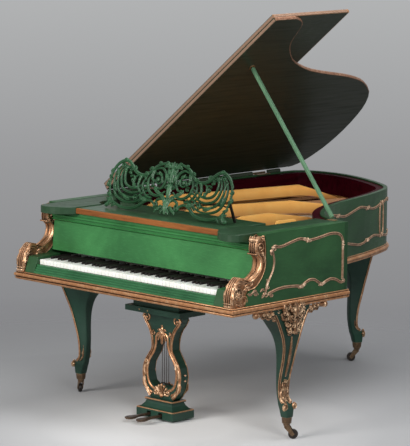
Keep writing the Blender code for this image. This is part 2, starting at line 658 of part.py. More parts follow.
def make_lid_hinge(name, y):
    """A leaf hinge's fixed half: its leaf on the spine's top and its barrel outside."""
    bm = bmesh.new()
    turn = Matrix.Rotation(math.pi / 2, 4, "X")
    radius, length = HINGE_BARREL
    bmesh.ops.create_cone(bm, cap_ends=True, segments=12, radius1=radius, radius2=radius, depth=length,
                          matrix=Matrix.Translation((LID_AXIS.x + 0.0005, y, RIM_TOP + 0.0050)) @ turn)
    barrel = add_object(name + "_barrel", bm, "brass", CUTTERS)
    hide(barrel)
    half = length / 2 - 0.001
    low = (LID_AXIS.x + 0.0015, y - half, RIM_TOP + GAP)
    leaf = box(name, low, (-0.6800, y + half, RIM_TOP + 0.0024), "brass")
    boolean(leaf, barrel, "UNION")


def make_prop():
    run = PROP_HEAD - PROP_FOOT
    length = run.length - 0.0055
    turn = run.to_track_quat("Z", "Y").to_matrix().to_4x4()
    bm = bmesh.new()
    middle = Matrix.Translation((0, 0, length / 2))
    bmesh.ops.create_cube(bm, size=1, matrix=middle @ Matrix.Diagonal((PROP_WIDTH, PROP_WIDTH, length, 1)))
    bmesh.ops.bevel(bm, geom=list(bm.edges), offset=0.003, segments=1, profile=0.5, affect="EDGES", material=-1)
    bmesh.ops.transform(bm, matrix=Matrix.Translation(PROP_FOOT) @ turn, verts=bm.verts)
    prop = add_object("lid_prop", bm, "prop_paint")
    carry(hinge_empty("lid_prop_axis", PROP_FOOT), prop)
    x, y = PROP_FOOT.x, PROP_FOOT.y
    box("prop_socket", (x - 0.022, y - 0.012, RIM_TOP + GAP), (x + 0.022, y + 0.012, RIM_TOP + 0.0020), "brass")


def inside_line(clearance):
    """The inside of the case from the treble corner round the tail to the spine, this far within it."""
    return offset_line(case_line()[2:-1], clearance)


def make_inside():
    """Braces, soundboard with bridge, pin block, iron frame, strings and dampers."""
    line = inside_line(INNER_RIM[1] + 0.001)
    front = [Vector((-CASE_HALF + INNER_RIM[1] + 0.001, 0.640)), Vector((line[0].x, 0.640))]
    prism("soundboard", line + front, *SOUNDBOARD_Z, flat_place, "spruce")
    bridge = sweep("bridge_source", [(-0.015, 0.805), (0.015, 0.805), (0.015, 0.866), (-0.015, 0.866)],
                   smooth_line(BRIDGE, 2), "spruce", CUTTERS)
    hide(bridge)
    boolean(bpy.data.objects["soundboard"], bridge, "UNION")
    make_braces()
    box("pin_block", *PIN_BLOCK, "beech")
    make_iron_frame()
    make_strings()


def strut_line(start, end):
    """The start of a strut, its run, and the step from its middle to its side."""
    run = Vector(end) - Vector(start)
    return Vector(start), run, Vector((-run.y, run.x)).normalized() * STRUT_WIDTH / 2


def foot_shares(levels, height):
    """The shares of a strut's length where its underside rises past a height and comes down past it again."""
    found = []
    for (share, low, _), (next_share, next_low, _) in zip(levels, levels[1:]):
        if (low - height) * (next_low - height) < 0:
            found.append(share + (next_share - share) * (height - low) / (next_low - low))
    return found[0], found[-1]


def make_strings():
    """The sheet that the strings lie in. It is slotted where the struts' feet go down through it."""
    sheet = prism("strings", STRINGS, *STRINGS_Z, flat_place, "string_steel")
    for i, ((start, end), levels) in enumerate(zip(STRUTS, STRUT_SHAPES)):
        first, run, side = strut_line(start, end)
        side = side * 1.15
        near, far = foot_shares(levels, STRINGS_Z[1] + 0.003)
        for name, low, high in (("near", 0.0, near), ("far", far, 1.01)):
            before, after = first + run * low, first + run * high
            bm = bmesh.new()
            add_prism(bm, [before - side, after - side, after + side, before + side], STRINGS_Z[0] - 0.01,
                      STRINGS_Z[1] + 0.01, flat_place)
            slot = add_object(f"string_slot_{name}_{i}", bm, "beech", CUTTERS)
            hide(slot)
            boolean(sheet, slot, "DIFFERENCE")


def make_braces():
    """The belly rail and the beams that run from it to the tail, joined as one frame."""
    frame = box("case_braces", *BELLY_RAIL, "beech")
    half = BEAM_WIDTH / 2
    for i, ((x0, y0), (x1, y1)) in enumerate(BEAMS):
        bm = bmesh.new()
        add_prism(bm, [(x0 - half, y0), (x0 + half, y0), (x1 + half, y1), (x1 - half, y1)], *BEAM_Z, flat_place)
        piece = add_object(f"brace_{i}", bm, "beech", CUTTERS)
        hide(piece)
        boolean(frame, piece, "UNION")


def make_iron_frame():
    """The gold plate: a band along the rim, the front plate over the pin block, and the tall struts."""
    outer = inside_line(INNER_RIM[1] + 0.004)
    inner = inside_line(INNER_RIM[1] + 0.095)
    inner = [p for p in inner if p.y > 0.90 and -0.50 < p.x < 0.36]
    left = -CASE_HALF + INNER_RIM[1] + 0.004
    ring = [Vector((PLATE_RIGHT_X, PLATE_FRONT_Y))] + [p for p in outer if p.x < PLATE_RIGHT_X + 0.01]
    ring.append(Vector((left, PLATE_FRONT_Y)))
    frame = prism("iron_frame", ring, *PLATE_Z, flat_place, "gold_paint")
    right, near_left, far_left = (Vector(p) for p in WINDOW_FRONT)
    hole = [right, *inner, far_left, near_left]
    bm = bmesh.new()
    add_prism(bm, hole, PLATE_Z[0] - 0.02, PLATE_Z[1] + 0.02, flat_place)
    window = add_object("plate_window", bm, "beech", CUTTERS)
    hide(window)
    boolean(frame, window, "DIFFERENCE")
    for i, ((start, end), levels) in enumerate(zip(STRUTS, STRUT_SHAPES)):
        first, run, side = strut_line(start, end)
        bm = bmesh.new()
        sections = []
        for share, low, top in levels:
            spot = first + run * share
            sections.append([Vector((*(spot + side), low)), Vector((*(spot - side), low)),
                             Vector((*(spot - side), top)), Vector((*(spot + side), top))])
        add_loft(bm, sections)
        strut = add_object(f"strut_{i}", bm, "gold_paint", CUTTERS)
        hide(strut)
        boolean(frame, strut, "UNION")


def make_leg(side, centre, facing, trail):
    """A cabriole leg on its caster. It faces this many degrees from +X."""
    turn = Matrix.Translation((*centre, 0)) @ Matrix.Rotation(math.radians(facing), 4, "Z")
    top = BACK_LEG_TOP if side == "back" else LEG_TOP
    sections = []
    for z, front, back, wide, narrow in reversed(top + LEG_LEVELS):
        ring = [(front, -wide / 2), (front, wide / 2), (back, narrow / 2), (back, -narrow / 2)]
        sections.append([turn @ Vector((x, y, z)) for x, y in ring])
    bm = bmesh.new()
    add_loft(bm, sections)
    obj = add_object("leg_" + side, bm, "dark_green_paint")
    add_bevel(obj, 0.004)
    cup = turned("leg_cup_" + side, [(0, CUP_Z[1]), (CUP_RADIUS, CUP_Z[1]), (CUP_RADIUS, CUP_Z[1] - 0.006),
                                     (CUP_RADIUS * 0.9, CUP_Z[0]), (0, CUP_Z[0])], "brass")
    cup.location = (*centre, 0)
    make_caster(side, centre, math.radians(trail))


def make_caster(side, centre, angle):
    """The fork swivels on the cup's axis, and the wheel turns on its axle behind it."""
    swivel = hinge_empty("caster_axis_" + side, (*centre, CUP_Z[0]))
    place = Matrix.Translation((*centre, 0)) @ Matrix.Rotation(angle, 4, "Z")
    bm = bmesh.new()
    bmesh.ops.create_cone(bm, cap_ends=True, segments=16, radius1=0.015, radius2=0.017, depth=0.012,
                          matrix=Matrix.Translation((0, 0, CUP_Z[0] - 0.0065)))
    fork = add_object("caster_fork_" + side, bm, "brass")
    fork.matrix_basis = place
    arms = bmesh.new()
    for sign in (-1, 1):
        y = sign * (WHEEL_WIDTH / 2 + 0.0035)
        outline = [(-0.010, 0.064), (0.012, 0.064), (TRAIL + 0.008, 0.0225), (TRAIL - 0.002, 0.013),
                   (TRAIL - 0.008, 0.018), (-0.010, 0.052)]
        add_prism(arms, outline, y - 0.002, y + 0.002, front_place)
    add_box(arms, (-0.010, -0.0135, 0.0535), (0.012, 0.0135, 0.064))
    bmesh.ops.create_cone(arms, cap_ends=True, segments=16, radius1=AXLE_RADIUS, radius2=AXLE_RADIUS,
                          depth=WHEEL_WIDTH + 0.010, matrix=Matrix.Translation((TRAIL, 0, WHEEL_CENTRE_Z))
                          @ Matrix.Rotation(math.pi / 2, 4, "X"))
    arms_obj = add_object(f"fork_arms_{side}", arms, "brass", CUTTERS)
    arms_obj.matrix_basis = place
    hide(arms_obj)
    modifier_with_self(fork, arms_obj)
    rim, face = WHEEL_WIDTH / 2 - 0.003, WHEEL_WIDTH / 2
    wheel = turned("caster_wheel_" + side, [(BORE_RADIUS, face), (WHEEL_RADIUS - 0.002, face), (WHEEL_RADIUS, rim),
                                            (WHEEL_RADIUS, -rim), (WHEEL_RADIUS - 0.002, -face),
                                            (BORE_RADIUS, -face), (BORE_RADIUS, face)], "wheel_iron", WHEEL_FACETS)
    hub = place @ Vector((TRAIL, 0, WHEEL_CENTRE_Z))
    axle = hinge_empty("wheel_axis_" + side, hub)
    half_facet = Matrix.Rotation(math.pi / WHEEL_FACETS, 4, "Z")
    wheel.matrix_basis = (Matrix.Translation(hub) @ Matrix.Rotation(angle, 4, "Z")
                          @ Matrix.Rotation(math.pi / 2, 4, "X") @ half_facet)
    carry(axle, wheel)
    carry(swivel, fork, arms_obj, axle)


def make_lyre():
    """The lyre that carries the pedals: top plate, body with its base, and the thin rods in it."""
    bm = bmesh.new()
    for low, high in LYRE_PLATE:
        add_box(bm, low, high)
    parts = add_object("lyre_plate_source", bm, "dark_green_paint", CUTTERS)
    hide(parts)
    plate = box("lyre_plate", *LYRE_PLATE[0], "dark_green_paint")
    modifier_with_self(plate, parts)
    body = prism("lyre_frame", mirrored(LYRE_HALF), *LYRE_Y, front_place, "dark_green_paint")
    bm = bmesh.new()
    add_prism(bm, mirrored(LYRE_HOLE), LYRE_Y[0] - 0.02, LYRE_Y[1] + 0.02, front_place)
    hole = add_object("lyre_hole", bm, "beech", CUTTERS)
    hide(hole)
    boolean(body, hole, "DIFFERENCE")
    bm = bmesh.new()
    for low, high in LYRE_BLOCKS:
        add_box(bm, low, high)
    add_loft(bm, [[(-half, front, z), (half, front, z), (half, back, z), (-half, back, z)]
                  for z, half, front, back in LYRE_FLARE])
    blocks = add_object("lyre_blocks", bm, "dark_green_paint", CUTTERS)
    hide(blocks)
    modifier_with_self(body, blocks)
    for name, x in PEDALS:
        low, high = (Vector(v) + Vector((x, 0, 0)) for v in PEDAL_SLOT)
        boolean(body, cutter(name + "_slot", low, high), "DIFFERENCE")
    make_lyre_rods()
    for name, x in PEDALS:
        make_pedal(name, x)


def modifier_with_self(obj, other):
    """A union with a mesh whose own pieces overlap."""
    modifier = obj.modifiers.new("Union", "BOOLEAN")
    modifier.operation = "UNION"
    modifier.solver = "EXACT"
    modifier.use_self = True
    modifier.object = other


def make_lyre_rods():
    """Four thin rods in the lyre's opening, joined by a slim bar at each end."""
    y = (LYRE_Y[0] + LYRE_Y[1]) / 2
    bm = bmesh.new()
    for x in LYRE_RODS_X:
        bmesh.ops.create_cone(bm, cap_ends=True, segments=8, radius1=LYRE_ROD_RADIUS, radius2=LYRE_ROD_RADIUS,
                              depth=0.222, matrix=Matrix.Translation((x, y, 0.275)))
    rods = add_object("lyre_rod_source", bm, "brass", CUTTERS)
    hide(rods)
    bar = box("lyre_rods", (-0.026, y - 0.003, 0.1630), (0.026, y + 0.003, 0.1690), "brass")
    top = cutter("lyre_rod_top", (-0.0225, y - 0.003, 0.380), (0.0225, y + 0.003, 0.386))
    boolean(bar, rods, "UNION")
    boolean(bar, top, "UNION")


def make_pedal(name, x):
    """A pedal: a slim arm out of the slot in the base, and a broad rounded tip."""
    y, z = PEDAL_PIVOT
    outline = [(x + u, v) for u, v in PEDAL_HALF] + [(x - u, v) for u, v in reversed(PEDAL_HALF[:-1])]
    pedal = prism(name, outline, z - PEDAL_THICK / 2, z + PEDAL_THICK / 2, flat_place, "brass", 0.0015)
    carry(hinge_empty(name + "_axis", (x, y, z)), pedal)


def make_dampers():
    """The damper rack: a rail under the strings, and the heads that it holds up over them."""
    low, high = DAMPER_Y
    bm = bmesh.new()
    add_box(bm, (-0.520, low, 0.8160), (0.300, high, 0.8300))
    rack = add_object("damper_rack", bm, "damper_felt")
    middle = (low + high) / 2
    bm = bmesh.new()
    for i in range(DAMPER_COUNT):
        x = -0.495 + i * DAMPER_PITCH
        if any(abs(x - strut_x_at(strut, middle)) < 0.024 for strut in STRUTS):
            continue
        add_box(bm, (x - 0.002, middle - 0.002, 0.8280), (x + 0.002, middle + 0.002, 0.8760))
        add_box(bm, (x - DAMPER_SIZE / 2, low + 0.001, 0.8735), (x + DAMPER_SIZE / 2, high - 0.001, 0.8980))
    heads = add_object("damper_heads", bm, "damper_felt", CUTTERS)
    hide(heads)
    modifier_with_self(rack, heads)
    carry(hinge_empty("damper_axis", (0, middle, 0.823)), rack, heads)


def strut_x_at(strut, y):
    first, run, _ = strut_line(*strut)
    return first.x + run.x * (y - first.y) / run.y


def centre_on_origin():
    """Moves the piano so that the middle of its footprint is over the world's origin."""
    bpy.context.view_layer.update()
    graph = bpy.context.evaluated_depsgraph_get()
    corners = []
    for obj in PIANO.objects:
        if obj.type == "MESH":
            evaluated = obj.evaluated_get(graph)
            corners += [evaluated.matrix_world @ Vector(c) for c in evaluated.bound_box]
    low = [min(c[i] for c in corners) for i in range(3)]
    high = [max(c[i] for c in corners) for i in range(3)]
    root = bpy.data.objects.new("piano_origin", None)
    PIANO.objects.link(root)
    tops = [obj for obj in bpy.data.objects if obj.parent is None and obj is not root]
    carry(root, *tops)
    root.location = (-(low[0] + high[0]) / 2, -(low[1] + high[1]) / 2, 0)
    print("design box", [round(v, 4) for v in low], [round(v, 4) for v in high])
    print("piano_origin", [round(v, 5) for v in root.location])


clear_scene()
PIANO = collection("grand_piano")
CUTTERS = collection("cutters")
make_case()
for side, sign in (("left", -1), ("right", 1)):
    make_cheek(side, sign)
    make_console(side, sign)
make_front()
make_keys()
make_desk()
make_lid()
make_lid_hinge("lid_hinge_front", HINGE_Y[0])
make_lid_hinge("lid_hinge_back", HINGE_Y[1])
make_prop()
make_inside()
make_dampers()
for leg_side, leg_centre, leg_facing, leg_trail in LEGS:
    make_leg(leg_side, leg_centre, leg_facing, leg_trail)
make_lyre()
centre_on_origin()
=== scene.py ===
# %% [markdown]
# A grand piano with painted green wood, copper-coloured gilding and an open lid. This script dresses the
# measured solids of the piano: it gives every surface its finish and adds the carving, the keys, the strings
# and the pierced music desk. The solids come first, because every new piece is fitted to them.

# %% Load the solids and keep their size
import math

import bmesh
import bpy
from mathutils import Matrix, Vector


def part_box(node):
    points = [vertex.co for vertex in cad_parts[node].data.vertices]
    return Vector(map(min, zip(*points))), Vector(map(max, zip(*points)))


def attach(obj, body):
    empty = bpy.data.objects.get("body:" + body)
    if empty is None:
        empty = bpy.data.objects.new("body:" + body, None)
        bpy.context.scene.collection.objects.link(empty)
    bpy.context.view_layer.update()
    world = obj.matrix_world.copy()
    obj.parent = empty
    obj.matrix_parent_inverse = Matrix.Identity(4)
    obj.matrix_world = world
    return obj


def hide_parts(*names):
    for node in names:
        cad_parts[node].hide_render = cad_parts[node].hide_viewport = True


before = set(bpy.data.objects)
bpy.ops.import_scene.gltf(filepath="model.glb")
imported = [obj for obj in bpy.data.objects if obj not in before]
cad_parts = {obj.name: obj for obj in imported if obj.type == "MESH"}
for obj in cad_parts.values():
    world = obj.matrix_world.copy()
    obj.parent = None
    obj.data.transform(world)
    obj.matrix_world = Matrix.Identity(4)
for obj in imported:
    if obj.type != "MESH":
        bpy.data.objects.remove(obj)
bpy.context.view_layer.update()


def spot_between(node):
    low, high = (Vector(corner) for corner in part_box(node))
    return (low + high) / 2


# The piano was drawn with x = 0 in the middle of the keyboard and y = 0 at the nose of the base moulding.
HOME = Vector((spot_between("key_slip").x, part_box("base_moulding")[0][1], 0))

# %% [markdown]
# The photograph was taken with a long lens from the treble side, a little above the keyboard. A long lens
# keeps parallel edges nearly parallel. The camera is placed by numbers rather than by a Track To constraint,
# because its slight tilt is part of the view.

# %% Camera
CAMERA_SPOT = Vector((9.1244, -8.8107, 2.8596))
CAMERA_YAW = math.radians(44.227)
CAMERA_PITCH = math.radians(8.516)
CAMERA_ROLL = math.radians(0.483)
CAMERA_LENS = 226.18


def add_object(name, data):
    made = bpy.data.objects.new(name, data)
    bpy.context.scene.collection.objects.link(made)
    return made


camera_data = bpy.data.cameras.new("camera")
camera_data.sensor_fit = "VERTICAL"
camera_data.sensor_height = 36
camera_data.lens = CAMERA_LENS
camera_data.clip_end = 60
camera = add_object("camera", camera_data)
aim = Matrix.Rotation(CAMERA_YAW, 4, "Z") @ Matrix.Rotation(math.pi / 2 - CAMERA_PITCH, 4, "X")
camera.matrix_world = Matrix.Translation(HOME + CAMERA_SPOT) @ aim @ Matrix.Rotation(CAMERA_ROLL, 4, "Z")
bpy.context.scene.camera = camera
bpy.context.scene.view_settings.view_transform = "Standard"
print("camera", [round(v, 3) for v in camera.location])

# %% [markdown]
# Soft studio light: one broad lamp high on the left in front of the keyboard, a weaker one from the treble
# side, and a little light from the surroundings. Broad lamps give the long soft gloss that polished and
# gilded wood needs. The surroundings are a grey sweep, lighter at the top than near the floor. The camera
# and mirror-like surfaces see that sweep, but it lights the piano only a little.


# %% Lamps and surroundings
def add_lamp(name, spot, target, size, power, colour=(1, 1, 1)):
    data = bpy.data.lights.new(name, "AREA")
    data.shape = "RECTANGLE"
    data.size, data.size_y = size
    data.energy = power
    data.color = colour
    turn = (Vector(target) - Vector(spot)).to_track_quat("-Z", "Y").to_matrix().to_4x4()
    add_object(name, data).matrix_world = Matrix.Translation(Vector(spot)) @ turn


def add_node(tree, kind, *sources, **settings):
    """A new shader node with its settings. The outputs given feed its first sockets."""
    made = tree.nodes.new("ShaderNode" + kind)
    for name, value in settings.items():
        setattr(made, name, value)
    for socket, source in zip(made.inputs, sources):
        tree.links.new(source, socket)
    return made


def set_stops(ramp, stops):
    """Gives a colour ramp its stops, as (position, colour)."""
    elements = ramp.color_ramp.elements
    while len(elements) < len(stops):
        elements.new(0.5)
    for element, (position, colour) in zip(elements, stops):
        element.position = position
        element.color = (*colour, 1)


add_lamp("front_lamp", (-0.6, -8.4, 3.4), (0.0, -0.6, 0.6), (3.6, 3.0), 560, (1.0, 0.98, 0.94))
add_lamp("side_lamp", (6.4, -3.6, 4.0), (0.2, -0.2, 0.6), (3.2, 3.2), 290, (0.97, 0.99, 1.0))
add_lamp("top_lamp", (0.8, 0.4, 4.6), (0.0, 0.0, 0.9), (3.0, 3.0), 120)

SURROUND_LIGHT = (0.62, 0.65, 0.68)
SURROUND_STRENGTH = 0.34
SWEEP_TONES = [(0.34, (0.190, 0.192, 0.200)), (0.52, (0.235, 0.236, 0.246)),
               (0.68, (0.320, 0.322, 0.330)), (0.84, (0.450, 0.458, 0.462))]
SWEEP_HEIGHTS = (-0.4, 0.0)
world = bpy.data.worlds.new("studio")
world.use_nodes = True
bpy.context.scene.world = world
tree = world.node_tree
light = tree.nodes["Background"]
light.inputs["Color"].default_value = (*SURROUND_LIGHT, 1)
light.inputs["Strength"].default_value = SURROUND_STRENGTH

# The sweep's tone follows the height of the line of sight: -0.4 is steeply down and 0.0 is level.
split = add_node(tree, "SeparateXYZ", add_node(tree, "TexCoord").outputs["Generated"])
height = add_node(tree, "MapRange", split.outputs["Z"])
height.inputs["From Min"].default_value, height.inputs["From Max"].default_value = SWEEP_HEIGHTS
tones = add_node(tree, "ValToRGB", height.outputs["Result"])
set_stops(tones, SWEEP_TONES)
seen = add_node(tree, "Background", tones.outputs["Color"])

path = add_node(tree, "LightPath").outputs
camera_or_gloss = add_node(tree, "Math", path["Is Camera Ray"], path["Is Glossy Ray"], operation="MAXIMUM")
any_sight = add_node(tree, "Math", camera_or_gloss.outputs["Value"], path["Is Transmission Ray"],
                     operation="MAXIMUM")
mix = add_node(tree, "MixShader", any_sight.outputs["Value"], light.outputs["Background"],
               seen.outputs["Background"])
tree.links.new(mix.outputs["Shader"], tree.nodes["World Output"].inputs["Surface"])

# %% [markdown]
# Every finish is a small network of nodes that reads Object coordinates. These helpers add the parts that
# the networks share: colours noted in thousandths, a stretched noise, a row of colour stops, a number range,
# a bump, and masks for the hollows and for the outer edges. The hollows are darkened where dirt gathers and
# as painted shade, and the outer edges are lightened where they are rubbed and as a painted highlight. Both
# masks come from occlusion, the share of short rays that meet the piece itself: traced outwards it finds
# hollows, and traced inwards it finds edges.


# %% Helpers for finishes
def in_thousandths(*rows):
    """Rows of numbers that are noted in thousandths: millimetres to metres, or the shares of a colour."""
    return [tuple(number / 1000 for number in row) for row in rows]


class Finish:
    """A material under construction, with its shader and its object coordinates at hand."""

    def __init__(self, name, roughness, metallic=0.0):
        self.material = bpy.data.materials.new(name)
        self.material.use_nodes = True
        self.tree = self.material.node_tree
        self.shader = self.tree.nodes["Principled BSDF"]
        self.shader.inputs["Roughness"].default_value = roughness
        self.shader.inputs["Metallic"].default_value = metallic
        self.coords = add_node(self.tree, "TexCoord").outputs["Object"]

    def link(self, output, socket):
        self.tree.links.new(output, socket)

    def set(self, node, **numbers):
        """Sets a node's sockets, each named with an underscore for a space."""
        for name, number in numbers.items():
            node.inputs[name.replace("_", " ")].default_value = number

    def noise(self, scale, detail=4.0, stretch=(1, 1, 1), rough=0.55, twist=0.0):
        place = add_node(self.tree, "Mapping", self.coords)
        self.set(place, Scale=stretch)
        texture = add_node(self.tree, "TexNoise", place.outputs["Vector"])
        self.set(texture, Scale=scale, Detail=detail, Roughness=rough, Distortion=twist)
        return texture.outputs["Fac"]

    def steps(self, value, stops):
        ramp = add_node(self.tree, "ValToRGB", value)
        set_stops(ramp, stops)
        return ramp.outputs["Color"]

    def span(self, value, from_low, from_high, low, high):
        node = add_node(self.tree, "MapRange", value)
        self.set(node, From_Min=from_low, From_Max=from_high, To_Min=low, To_Max=high)
        return node.outputs["Result"]

    def blend(self, amount, first, second, mode="MIX"):
        """Mixes two colours. The amount may be a number and the second colour may be a plain one."""
        node = add_node(self.tree, "Mix", data_type="RGBA", blend_type=mode)
        for socket, value in zip((node.inputs[0], node.inputs[6], node.inputs[7]), (amount, first, second)):
            if isinstance(value, float):
                socket.default_value = value
            elif isinstance(value, tuple):
                socket.default_value = (*value, 1)
            else:
                self.link(value, socket)
        return node.outputs[2]

    # Hollows: a mask that the finishes use to darken hollows, for dirt and as painted shade.
    def hollows(self, distance, strength, inside=False, reach=(0.45, 0.95)):
        node = add_node(self.tree, "AmbientOcclusion", samples=6, inside=inside, only_local=True)
        self.set(node, Distance=distance)
        return self.span(node.outputs["AO"], *reach, strength, 0.0)

    # Outer edges: a mask that the finishes use to lighten edges, for wear and as a painted highlight.
    def worn_and_highlit_edges(self, distance, strength=0.7):
        return self.hollows(distance, strength, True, (0.25, 0.85))

    def colour(self, output):
        self.link(output, self.shader.inputs["Base Color"])

    def roughness(self, output):
        self.link(output, self.shader.inputs["Roughness"])

    def bump(self, height, strength):
        node = add_node(self.tree, "Bump")
        self.set(node, Strength=strength, Distance=0.001)
        self.link(height, node.inputs["Height"])
        self.link(node.outputs["Normal"], self.shader.inputs["Normal"])


print("finish helpers ready")

# %% [markdown]
# The case is painted green over wood. Old paint isn't even: broad clouds of lighter and darker green, fine
# specks, and faint brush streaks along the boards. The same recipe makes the bright front, the darker sides
# and the nearly black green of the legs, each from its own pair of colours. These pairs are one green paint
# with the light and shade of each place painted in: the front is painted as lit, and the sides, rim, lid flap
# and legs darker as painted shade. Hollows are darkened for dirt and as painted shade, and outer edges are
# lightened for wear and as a painted highlight.


# %% Green paints
def painted_wood(name, dark, light, roughness=0.4, coat=0.06, streak=(1, 1, 6)):
    dark, light = in_thousandths(dark, light)
    finish = Finish(name, roughness)
    clouds = finish.noise(3.2, 5, twist=0.6)
    brush = finish.noise(26, 6, streak)
    specks = finish.noise(230, 3)
    base = finish.steps(clouds, [(0.32, dark), (0.68, light)])
    pale_wear_and_highlight = tuple(min(1, c * 1.6 + 0.008) for c in light)
    grime_and_shade = tuple(c * 0.40 for c in dark)
    worn = finish.blend(finish.span(brush, 0.50, 0.85, 0.0, 0.30), base, pale_wear_and_highlight)
    specked = finish.blend(finish.span(specks, 0.60, 0.75, 0.0, 0.45), worn, grime_and_shade)
    # Painted shade and highlight: hollows are darkened for dirt and as painted shade, and outer edges
    # lightened for wear and as a painted highlight.
    dusty_and_shaded = finish.blend(finish.hollows(0.008, 0.7), specked, grime_and_shade)
    finish.colour(finish.blend(finish.worn_and_highlit_edges(0.0025, 0.55), dusty_and_shaded, pale_wear_and_highlight))
    finish.roughness(finish.span(brush, 0.3, 0.7, roughness - 0.06, roughness + 0.10))
    finish.bump(finish.blend(0.35, brush, specks), 0.15)
    finish.shader.inputs["Specular IOR Level"].default_value = 0.32
    finish.shader.inputs["Coat Weight"].default_value = coat
    finish.shader.inputs["Coat Roughness"].default_value = 0.22
    return finish.material


# One green paint in lit and shaded copies: the front is painted as lit, and the sides, rim, lid flap and legs
# darker as painted shade.
lit_front_green = painted_wood("lit_front_green", (21, 118, 32), (46, 215, 62))
shaded_case_green = painted_wood("shaded_case_green", (10, 46, 14), (26, 96, 30), streak=(1, 1, 5))
top_green = painted_wood("top_green", (20, 56, 24), (34, 88, 40), 0.34, 0.22)
shaded_leg_green = painted_wood("shaded_leg_green", (4, 19, 12), (12, 48, 29), 0.38, 0.08)
desk_green = painted_wood("desk_green", (12, 46, 18), (28, 96, 40), 0.38, 0.08)
console_green = painted_wood("console_green", (10, 34, 13), (19, 58, 24), 0.42, 0.10)
shaded_rim_green = painted_wood("shaded_rim_green", (6, 32, 10), (19, 70, 23))
shaded_flap_green = painted_wood("shaded_flap_green", (16, 24, 12), (30, 42, 22))
slip_green = painted_wood("slip_green", (16, 85, 32), (36, 155, 60))
prop_green = painted_wood("prop_green", (65, 150, 82), (125, 245, 138), streak=(6, 6, 1))

# %% [markdown]
# The carving and mouldings are gilded with a copper-coloured leaf. The leaf is metal, rubbed and dirty, and
# its colour also carries painted shade and painted highlights: nearly black in the hollows, for dirt and as
# painted shade, and bright on the edges where hands and dusters reach, for wear and as a painted highlight.
# Noise at two sizes mixes three tones, and the two masks then darken the hollows and brighten the edges. The
# leaf may end in bare wood beyond a place along x, and the iron frame's gold is painted darker lower down, as
# painted shade deep in the case.


# %% Gilding
BARE_WOOD = (0.012, 0.017, 0.012)
# Painted shade: the iron frame's gold turns to this darker brown lower down, deep in the case.
PAINTED_SHADE_GOLD = (0.300, 0.120, 0.030)


def gilded(name, hollow, leaf, wear_and_highlight, roughness, scale=45, metal=0.6, dirt_and_shade=0.97, depth=0.018,
           reach=(0.50, 0.95), bare=None, shade_heights=None):
    hollow, leaf, wear_and_highlight = in_thousandths(hollow, leaf, wear_and_highlight)
    finish = Finish(name, roughness, metal)
    patches = finish.noise(scale, 5, twist=0.6)
    grain = finish.noise(scale * 9, 3)
    middle = tuple((a + 2 * b) / 3 for a, b in zip(hollow, leaf))
    lighter = tuple((a + b) / 2 for a, b in zip(leaf, wear_and_highlight))
    base = finish.steps(patches, [(0.28, middle), (0.50, leaf), (0.76, lighter)])
    specked = finish.blend(finish.span(grain, 0.60, 0.78, 0.0, 0.45), base, hollow)
    # Painted shade and highlight: hollows are darkened for dirt and as painted shade, and outer edges
    # brightened for wear and as a painted highlight.
    dirtied_and_shaded = finish.blend(finish.hollows(depth, dirt_and_shade, reach=reach), specked, tuple(c * 0.35 for c in hollow))
    gold = finish.blend(finish.worn_and_highlit_edges(0.003), dirtied_and_shaded, wear_and_highlight)
    # Beyond a place along x the leaf turns to bare wood, and lower down along z the frame's gold is darkened
    # as painted shade.
    for axis, ends, most, tone in (("X", bare, 1.0, BARE_WOOD), ("Z", shade_heights, 0.95, PAINTED_SHADE_GOLD)):
        if ends:
            apart = add_node(finish.tree, "SeparateXYZ", finish.coords)
            gold = finish.blend(finish.span(apart.outputs[axis], *ends, most, 0.0), gold, tone)
    finish.colour(gold)
    finish.roughness(finish.span(patches, 0.3, 0.7, roughness + 0.16, roughness - 0.06))
    finish.bump(finish.blend(0.5, patches, grain), 0.22)
    return finish.material


copper_gilt = gilded("copper_gilt", (40, 18, 9), (400, 185, 85), (930, 640, 410), 0.32, metal=0.7)
base_gilt = gilded("base_gilt", (50, 20, 9), (500, 230, 100), (940, 640, 390), 0.32, metal=0.65, depth=0.010)
edge_gilt = gilded("edge_gilt", (26, 14, 9), (120, 62, 40), (380, 235, 160), 0.42,
                   depth=0.003, reach=(0.60, 0.92))
# The leg carving's hollows go nearly black, for dirt and as painted shade.
carved_gilt = gilded("carved_gilt", (20, 10, 6), (290, 135, 62), (930, 640, 400), 0.32,
                     depth=0.030, reach=(0.55, 0.98))
lid_edge = gilded("lid_edge", (26, 14, 9), (290, 135, 75), (760, 480, 320), 0.40, bare=(-0.20, -0.15))
rose_gilt = gilded("rose_gilt", (45, 22, 13), (400, 230, 140), (800, 570, 400), 0.38, depth=0.008)
# The frame's gold is painted darker between these two heights going down, as painted shade.
frame_gold = gilded("frame_gold", (800, 360, 80), (980, 500, 120), (1000, 700, 260), 0.42, 9,
                    0.0, 0.3, shade_heights=(0.868, 0.934))
aged_brass = gilded("aged_brass", (40, 22, 10), (200, 115, 52), (480, 320, 165), 0.34, 70)
caster_brass = gilded("caster_brass", (20, 12, 7), (100, 58, 30), (340, 230, 135), 0.36, 70)
pedal_bronze = gilded("pedal_bronze", (22, 13, 9), (70, 42, 27), (230, 145, 85), 0.36, 70)
wheel_iron = gilded("wheel_iron", (8, 6, 5), (22, 17, 14), (70, 52, 44), 0.42, 90)
wound_copper = gilded("wound_copper", (200, 80, 35), (500, 230, 110), (750, 420, 220), 0.30, 90)

# %% [markdown]
# Bare and polished wood shows its grain: long streaks, stretched along the board, with a wave where the saw
# met the curve of the trunk. The boards differ in their colours, their gloss and the way their grain runs.


